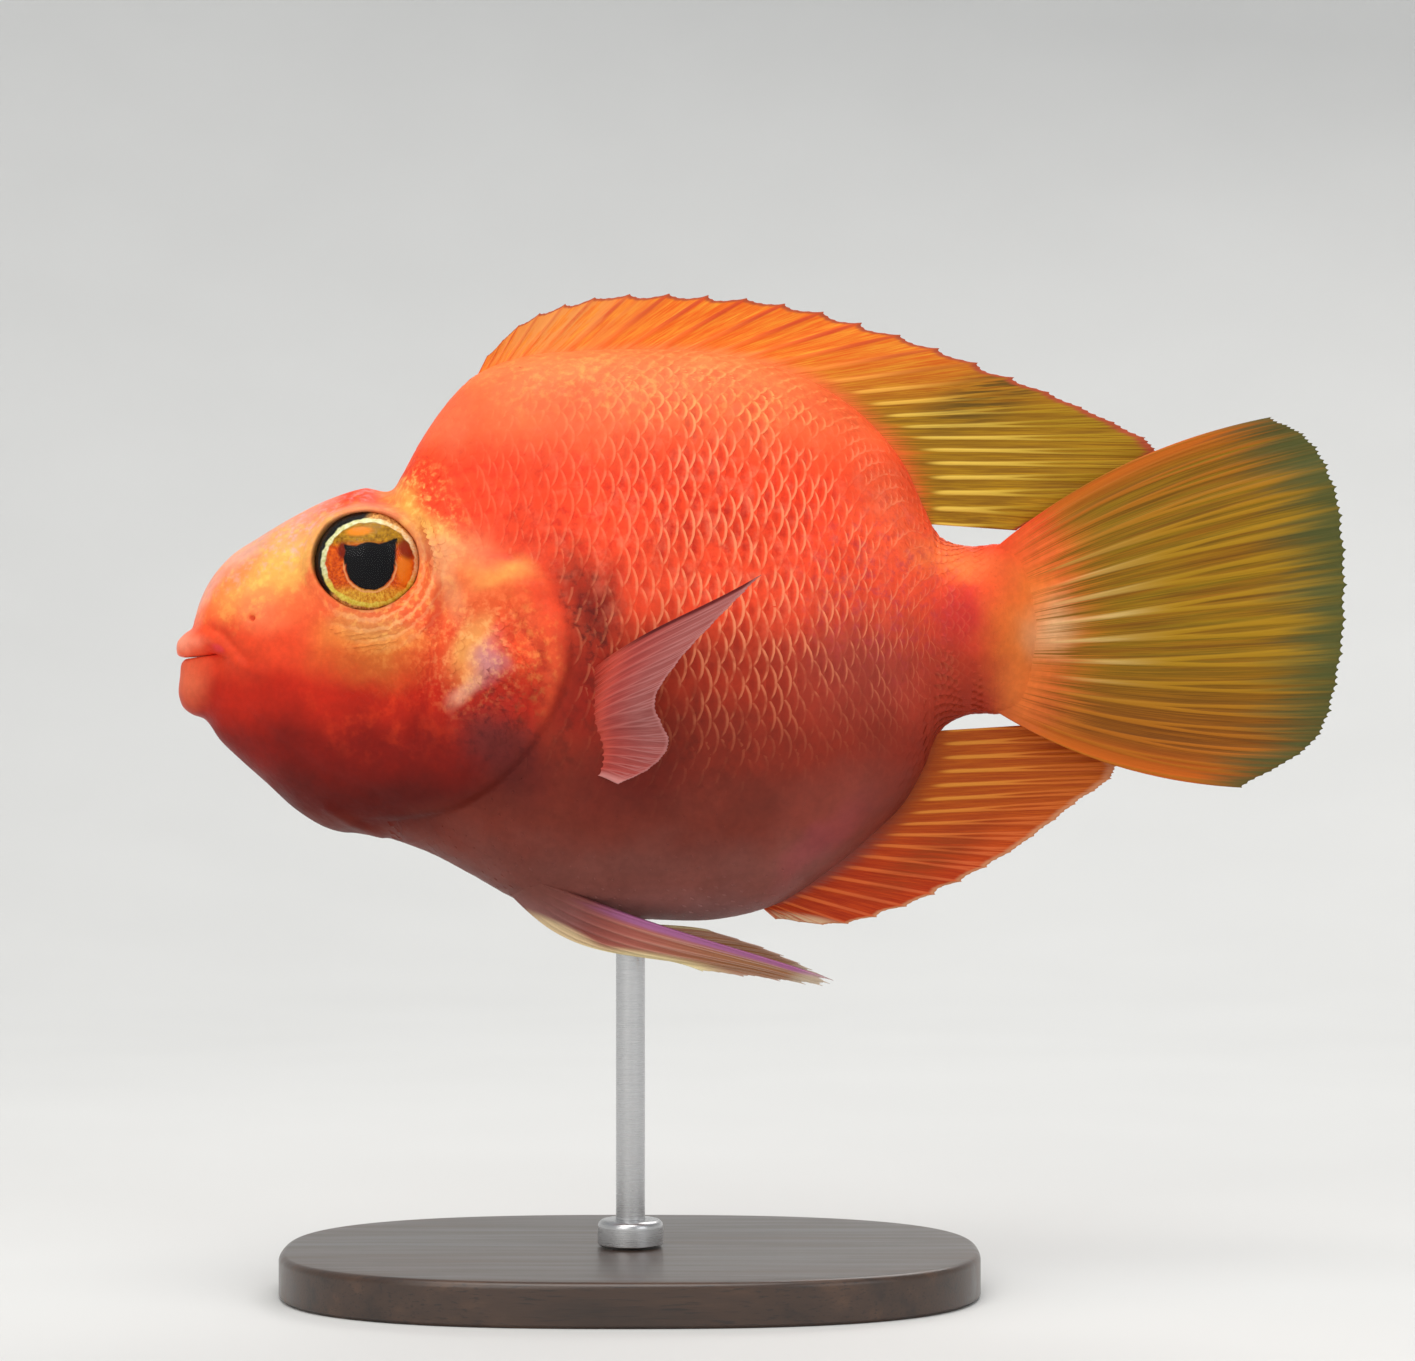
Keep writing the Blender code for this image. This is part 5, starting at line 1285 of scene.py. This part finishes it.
anal = fin_mesh(
    "anal_fin_web", middle_surface(ANAL_RAYS, anal_lean), 19, 8,
    spiny_notch(0.05, 0.012, 0.42), anal_paint, 0.85, per_ray=14, ripple=0.2, fray=0.01,
)


def tail_finish():
    """Amber web with orange edges, rays pale near the root, and a dusky rear margin."""
    material, tree, shader = new_finish("tail_web")
    lie, across, along, ray = fin_parts(tree)
    place = fish_place(tree)
    fine, broad = streaked(tree, lie, (220.0, 2.6), (60.0, 1.8))
    off_middle = maths(tree, "ABSOLUTE", maths(tree, "SUBTRACT", across, 0.5))
    lower = maths(tree, "MULTIPLY", stepped(tree, across, 0.5, 0.85), 0.85)
    amber = painted(tree, fine, (0.34, 0.18, 0.004, 1.0), (0.18, 0.11, 0.003, 1.0))
    rust = painted(tree, fine, (0.27, 0.068, 0.003, 1.0), (0.15, 0.032, 0.002, 1.0))
    web = painted(tree, maths(tree, "MAXIMUM", maths(tree, "MULTIPLY", broad, 0.6), lower), amber, rust)
    edges = stepped(tree, off_middle, 0.36, 0.5, 0.0, 0.8)
    web = painted(tree, edges, web, (0.62, 0.12, 0.008, 1.0))
    middle = stepped(tree, off_middle, 0.28, 0.06)
    pale_near = maths(tree, "MULTIPLY", stepped(tree, along, 0.56, 0.20), middle)
    pale_near = maths(tree, "MULTIPLY", pale_near, stepped(tree, broad, 0.0, 0.7, 0.95, 0.35))
    bone = painted(tree, stepped(tree, off_middle, 0.1, 0.4), (0.40, 0.21, 0.007, 1.0), (0.42, 0.12, 0.006, 1.0))
    bone = painted(tree, pale_near, bone, (0.88, 0.66, 0.30, 1.0))
    crest = maths(tree, "MULTIPLY_ADD", stepped(tree, along, 0.16, 0.6, 0.22, 0.0), -1.0, ray)
    colour = painted(tree, stepped(tree, crest, 0.25, 0.75, 0.0, 0.85), web, bone)
    root = node(tree, "ShaderNodeGroup", node_tree=MARKINGS_AND_PAINTED_LIGHT).outputs[0]
    root = painted(tree, stepped(tree, along, 0.20, 0.32, 0.0, 0.6), root, (0.62, 0.19, 0.016, 1.0))
    ragged = maths(tree, "MULTIPLY_ADD", maths(tree, "MULTIPLY", broad, fine), 0.22, along)
    colour = painted(tree, stepped(tree, ragged, 0.17, 0.42, 1.0, 0.0), colour, root)
    dusk = stepped(tree, maths(tree, "MULTIPLY_ADD", broad, 0.14, along), 0.82, 1.08, 0.0, 0.88)
    colour = painted(tree, dusk, colour, (0.060, 0.080, 0.022, 1.0))
    set_shader(
        tree, shader, Base_Color=colour, Roughness=stepped(tree, fine, 0.0, 1.0, 0.40, 0.55),
        Specular_IOR_Level=0.15,
        Normal=raised(tree, fine, 0.00004, 0.4),
    )
    return material


tail = fin_mesh(
    "fan_tail_fin", middle_surface(TAIL_RAYS, tail_lean, TAIL_BOW, TAIL_SINK), 17, 0,
    lambda across: 0.006 + 0 * across, tail_finish(), 1.3, per_ray=16, along=90, ripple=0.3,
    fray=0.008,
)
for fin, name in ((dorsal, "dorsal_fin"), (anal, "anal_fin"), (tail, "tail_fin")):
    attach(fin, "root")
    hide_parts(name)

# Paired fins. The pectoral fins fan out from a fleshy base behind the gill covers, and the pelvic
# fins trail under the belly, each a thin pink web on fine rays.

PECTORAL_RAYS = (
    (54.4, -8.4, 79.6, 13.0, 6.6), (54.8, -10.4, 74.6, 11.4, 1.6), (55.3, -12.4, 69.0, 9.4, -4.4),
    (55.8, -14.4, 65.8, 8.0, -9.8), (56.2, -16.4, 67.6, 7.0, -15.2), (56.6, -18.4, 65.2, 5.4, -18.6),
    (56.8, -20.4, 60.8, 3.6, -20.8),
)
PECTORAL_SINK, PECTORAL_BOW = 2.4, -0.04
# Root (x, y) on the belly, tip (x, y, h) and how far the ray bows
PELVIC_RAYS = {
    LEFT: (
        (46.6, 8.8, 89.6, 10.2, -47.6, 0.02), (46.2, 6.9, 88.2, 9.4, -48.4, 0.055),
        (45.6, 5.0, 82.5, 8.0, -47.9, 0.09), (45.0, 3.2, 72.0, 6.6, -46.7, 0.118),
    ),
    RIGHT: (
        (44.0, 8.0, 88.8, 9.2, -48.5, 0.1), (45.4, 6.5, 85.5, 7.6, -46.6, 0.09),
        (46.8, 4.9, 80.5, 6.0, -44.3, 0.09), (48.2, 3.4, 73.0, 4.8, -41.8, 0.075),
    ),
}
PELVIC_SINK = 1.2


def on_belly(x, y):
    """The skin's point and outward normal straight under the body."""
    point, normal, *_ = SKIN_TREE.ray_cast(Vector((x, y, -90.0)), Vector((0.0, 0.0, 1.0)))
    normal = normal if normal.z < 0 else -normal
    return np.array(point), np.array(normal)


def spread_surface(control):
    """The surface of a paired fin, from its control rays in space, each with the bow that
    it sags by a third of the way out."""
    control = np.array(control, float)
    places = np.linspace(0, 1, len(control))

    def surface(across, steps):
        rows = smooth(places, control, across)
        root, tip, bow = rows[:, :3], rows[:, 3:6], rows[:, 6:]
        path = root[:, None] + steps[..., None] * (tip - root)[:, None]
        length = np.linalg.norm(tip - root, axis=1)[:, None]
        sag = 6.75 * steps * (1 - steps) ** 2 * bow * length
        return path - sag[..., None] * np.array((0.0, 0.0, 1.0))

    return surface


def pectoral_surface(side):
    rows = []
    for x, h, tip_x, tip_out, tip_h in PECTORAL_RAYS:
        skin_at, normal = on_flank(x, h, side)
        root = skin_at - normal * PECTORAL_SINK
        rows.append((*root, tip_x, skin_at[1] + side * tip_out, tip_h, PECTORAL_BOW))
    return spread_surface(rows)


def pelvic_surface(side):
    rows = []
    for x, y, tip_x, tip_y, tip_h, bow in PELVIC_RAYS[side]:
        skin_at, normal = on_belly(x, side * y)
        rows.append((*(skin_at - normal * PELVIC_SINK), tip_x, side * tip_y, tip_h, bow))
    return spread_surface(rows)


def paired_finish(name, webs, bones, lead, lead_to, root, rear_edge, glows=()):
    """Streaked web that changes outwards and across, fine rays and a leading edge of its own.

    Webs are the colours near the root, far out, and by the last ray, and bones near and far."""
    material, tree, shader = new_finish(name)
    lie, across, along, ray = fin_parts(tree)
    fine, broad = streaked(tree, lie, (110.0, 2.4), (30.0, 1.8))
    web = painted(tree, stepped(tree, along, 0.35, 0.8), (*webs[0], 1.0), (*webs[1], 1.0))
    web = painted(tree, maths(tree, "MULTIPLY", stepped(tree, across, 0.55, 0.95), 0.8), web, (*webs[2], 1.0))
    deep = painted(tree, 1.0, web, (0.62, 0.45, 0.45, 1.0), "MULTIPLY")
    web = painted(tree, maths(tree, "MULTIPLY", maths(tree, "MAXIMUM", fine, broad), 0.7), web, deep)
    bone = painted(tree, stepped(tree, along, 0.3, 0.9), (*bones[0], 1.0), (*bones[1], 1.0))
    colour = painted(tree, stepped(tree, ray, 0.3, 0.9, 0.0, 0.6), web, bone)
    colour = painted(tree, stepped(tree, across, 0.93, 0.985), colour, (*rear_edge, 1.0))
    wavering = maths(tree, "MULTIPLY_ADD", broad, lead_to * 0.3, across)
    colour = painted(tree, stepped(tree, wavering, lead_to * 1.15, lead_to * 0.6), colour, (*lead, 1.0))
    ragged = maths(tree, "MULTIPLY_ADD", fine, 0.10, along)
    colour = painted(tree, stepped(tree, ragged, 0.20, 0.50, 1.0, 0.0), colour, (*root, 1.0))
    body = node(tree, "ShaderNodeGroup", node_tree=MARKINGS_AND_PAINTED_LIGHT).outputs[0]
    colour = painted(tree, stepped(tree, ragged, 0.14, 0.36, 1.0, 0.0), colour, body)
    colour = painted(tree, stepped(tree, along, 0.955, 1.0, 0.0, 0.6), colour, (*bones[1], 1.0))
    place = fish_place(tree)
    for centre, reach, turn, strength, shade in glows:
        share = spot(tree, place, centre, reach, turn, 0.6, strength)
        colour = painted(tree, share, colour, (*shade, 1.0))
    set_shader(
        tree, shader, Base_Color=colour, Roughness=stepped(tree, fine, 0.0, 1.0, 0.42, 0.56),
        Specular_IOR_Level=0.15,
        Normal=raised(tree, fine, 0.00004, 0.4),
    )
    return material


pectoral_paint = paired_finish(
    "pectoral_web", ((0.44, 0.070, 0.060), (0.40, 0.12, 0.11), (0.46, 0.075, 0.062)),
    ((0.52, 0.11, 0.09), (0.50, 0.20, 0.19)), (0.12, 0.012, 0.012), 0.04,
    (0.62, 0.085, 0.055), (0.56, 0.22, 0.20),
)
pelvic_paint = paired_finish(
    "pelvic_web", ((0.54, 0.17, 0.13), (0.46, 0.22, 0.10), (0.62, 0.34, 0.22)),
    ((0.56, 0.24, 0.18), (0.60, 0.40, 0.32)), (0.44, 0.15, 0.33), 0.16,
    (0.22, 0.050, 0.044), (0.80, 0.68, 0.36), (
        ((53.4, -41.7), (7.5, 1.2), -26, 0.8, (0.86, 0.66, 0.38)),
        ((66.0, -45.3), (10.0, 1.2), -10, 0.85, (0.90, 0.76, 0.42)),
        ((87.0, -48.4), (4.0, 2.0), -10, 0.8, (0.66, 0.54, 0.40)),
    ),
)
for side, word in SIDES:
    pectoral = fin_mesh(
        f"{word}_pectoral_web", pectoral_surface(side), 15, 0, lambda across: 0.012 + 0 * across,
        pectoral_paint, 0.8, per_ray=12, along=70, fray=0.012,
    )
    pelvic = fin_mesh(
        f"{word}_pelvic_web", pelvic_surface(side), 7, 1, lambda across: 0.03 + 0 * across,
        pelvic_paint, 0.8, per_ray=18, along=90, fray=0.01,
    )
    for fin, name in ((pectoral, f"pectoral_fin_{word}"), (pelvic, f"pelvic_fin_{word}")):
        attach(fin, "root")
        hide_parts(name)

# Stand. An oval base of dark stained wood, turned edges and satin varnish, with a brushed steel
# rod screwed up into the belly and a collar round its foot.

STAND_X = 62.0
BASE_LENGTH, BASE_WIDTH, BASE_HEIGHT, BASE_ROUND, BASE_BEVEL = 96.0, 66.0, 6.0, 2.6, 1.0
ROD_RADIUS, ROD_TOP, GAP = 2.0, -34.0, 0.3
COLLAR_RADIUS, COLLAR_HEIGHT = 4.5, 3.5
FOOT = BASE_HEIGHT + GAP - AXIS_HEIGHT


def oval(half_length, half_width, count):
    """Points round the base's outline."""
    angles = 2 * math.pi * np.arange(count) / count
    power = 2 / BASE_ROUND
    x = half_length * np.sign(np.cos(angles)) * np.abs(np.cos(angles)) ** power
    y = half_width * np.sign(np.sin(angles)) * np.abs(np.sin(angles)) ** power
    return np.stack([x, y], axis=1)


def base_rings():
    """The base from its foot, up its side, over a round edge and in across its top."""
    profile = [(0.5, 0.0), (0.0, 0.5), (0.0, BASE_HEIGHT - BASE_BEVEL)]
    for bend in np.radians(np.linspace(0, 90, 9)[1:]):
        profile.append((BASE_BEVEL * (1 - math.cos(bend)), BASE_HEIGHT - BASE_BEVEL * (1 - math.sin(bend))))
    profile += [(inset, BASE_HEIGHT) for inset in (4.0, 14.0, 24.0, 31.0)]
    profile = [(20.0, 0.0), *profile]
    rings = []
    for inset, level in profile:
        edge = oval(BASE_LENGTH / 2 - inset, BASE_WIDTH / 2 - inset, 160)
        rings.append(np.column_stack([edge[:, 0] + STAND_X, edge[:, 1], np.full(len(edge), level - AXIS_HEIGHT)]))
    return np.array(rings)


def wood_finish():
    """Dark stained wood: long grain, pores and a satin varnish."""
    material, tree, shader = new_finish("stained_wood")
    place = fish_place(tree)
    long_grain = node(tree, "ShaderNodeMapping", {"Vector": place, "Scale": (0.06, 1.0, 0.6)}).outputs[0]
    grain = noise(tree, long_grain, 3.0, 8.0, 0.6)
    pores = noise(tree, node(tree, "ShaderNodeMapping", {"Vector": place, "Scale": (0.10, 2.2, 2.2)}).outputs[0], 0.6, 3.0, 0.5)
    colour = graded(tree, grain, ((0.3, (0.018, 0.009, 0.005)), (0.5, (0.045, 0.021, 0.011)), (0.72, (0.085, 0.040, 0.020))))
    colour = painted(tree, stepped(tree, pores, 0.56, 0.68, 0.0, 0.7), colour, (0.010, 0.006, 0.004, 1.0))
    set_shader(
        tree, shader, Base_Color=colour, Roughness=stepped(tree, grain, 0.3, 0.7, 0.30, 0.42),
        Coat_Weight=0.3, Coat_Roughness=0.25, Normal=raised(tree, pores, 0.00006, 0.35),
    )
    return material


def steel_finish():
    """Steel brushed round its axis."""
    material, tree, shader = new_finish("brushed_steel")
    place = fish_place(tree)
    brushed = noise(tree, node(tree, "ShaderNodeMapping", {"Vector": place, "Scale": (0.15, 0.15, 9.0)}).outputs[0], 0.8, 5.0, 0.6)
    colour = painted(tree, brushed, (0.42, 0.42, 0.43, 1.0), (0.66, 0.66, 0.67, 1.0))
    set_shader(
        tree, shader, Base_Color=colour, Metallic=1.0,
        Roughness=stepped(tree, brushed, 0.3, 0.7, 0.22, 0.38), Normal=raised(tree, brushed, 0.00002, 0.3),
    )
    return material


base = make_mesh("wooden_base", *closed_grid(base_rings()), wood_finish())
upright = np.eye(3)
foot = np.array((STAND_X, 0.0, FOOT))
steel = steel_finish()
collar_section = [
    (COLLAR_RADIUS - 0.15, 0.0), (COLLAR_RADIUS, 0.15), (COLLAR_RADIUS, COLLAR_HEIGHT - 1.0),
    *[
        (COLLAR_RADIUS - 1 + math.cos(bend), COLLAR_HEIGHT - 1 + math.sin(bend))
        for bend in np.radians(np.linspace(10, 90, 9))
    ],
    (ROD_RADIUS + 0.15, COLLAR_HEIGHT), (ROD_RADIUS + 0.03, COLLAR_HEIGHT - 0.12),
]
collar = make_mesh("steel_collar", *closed_grid(turned(collar_section, foot, upright, 72)), steel)
rod_section = [(ROD_RADIUS, 0.0), (ROD_RADIUS, 20.0), (ROD_RADIUS, 40.0), (ROD_RADIUS, ROD_TOP - FOOT)]
rod = make_mesh("steel_rod", *closed_grid(turned(rod_section, foot, upright, 48)), steel)
for piece, name, slot in ((base, "stand_base", "base"), (collar, "stand_collar", "steel"), (rod, "stand_rod", "steel")):
    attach(piece, "root")
    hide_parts(name)
    piece.data.set_sharp_from_angle(angle=math.radians(40))

# Floor, lamps and camera. A pale sweep of floor that curves up all round, lit softly from above,
# and the camera at the photograph's angle.

FLOOR_FLAT, FLOOR_END, FLOOR_RISE = 420.0, 1350.0, 1150.0


def floor_rings():
    rings = []
    for radius in np.concatenate([np.linspace(20, FLOOR_FLAT, 8), np.linspace(FLOOR_FLAT, FLOOR_END, 40)[1:]]):
        share = max(0.0, (radius - FLOOR_FLAT) / (FLOOR_END - FLOOR_FLAT))
        level = FLOOR_RISE * (1 - math.sqrt(max(0.0, 1 - share**2)))
        angles = 2 * math.pi * np.arange(96) / 96
        rings.append(np.stack([radius * np.cos(angles) + 80, radius * np.sin(angles), np.full(96, level - AXIS_HEIGHT)], axis=1))
    return np.array(rings)


def floor_finish():
    material, tree, shader = new_finish("pale_floor")
    place = fish_place(tree)
    tone = noise(tree, place, 60.0, 1.0)
    colour = painted(tree, tone, (0.70, 0.70, 0.69, 1.0), (0.74, 0.74, 0.73, 1.0))
    set_shader(tree, shader, Base_Color=colour, Roughness=0.7, Specular_IOR_Level=0.2)
    return material


floor_grid = floor_rings()
ring_count, ring_size = floor_grid.shape[:2]
vertices, faces = closed_grid(floor_grid)
faces = [face for face in faces if len(vertices) - 1 not in face]
floor = make_mesh("floor", vertices[:-1], faces, floor_finish())

world = bpy.data.worlds.new("studio")
world.use_nodes = True
world.node_tree.nodes["Background"].inputs["Color"].default_value = (0.93, 0.96, 1.0, 1.0)
world.node_tree.nodes["Background"].inputs["Strength"].default_value = 0.5
bpy.context.scene.world = world

# Each lamp: where it stands, its width, power and colour
LAMPS = (
    ("overhead", (-0.10, -0.22, 0.95), 0.60, 4.8, (1.0, 0.98, 0.94)),
    ("front", (-0.42, -0.80, 0.62), 0.55, 2.6, (1.0, 0.98, 0.95)),
    ("side", (0.60, -0.62, 0.50), 0.5, 1.2, (0.95, 0.97, 1.0)),
    ("back", (0.25, 0.62, 0.75), 0.5, 2.4, (1.0, 0.98, 0.95)),
)
AIM = Vector((0.0, 0.0, 0.09))
for name, at, width, power, tint in LAMPS:
    lamp = bpy.data.lights.new(name, "AREA")
    lamp.size, lamp.energy, lamp.color = width, power, tint
    stand = bpy.data.objects.new(name, lamp)
    stand.location = at
    stand.rotation_euler = (AIM - Vector(at)).to_track_quat("-Z", "Y").to_euler()
    bpy.context.scene.collection.objects.link(stand)

camera = bpy.data.cameras.new("camera")
camera.lens, camera.sensor_width, camera.clip_start = 100.0, 36.0, 0.01
viewer = bpy.data.objects.new("camera", camera)
viewer.location = (-0.0074, -0.541, 0.0839)
viewer.rotation_euler = (math.radians(90), 0.0, 0.0)
bpy.context.scene.collection.objects.link(viewer)
bpy.context.scene.camera = viewer
bpy.context.scene.view_settings.view_transform = "Standard"
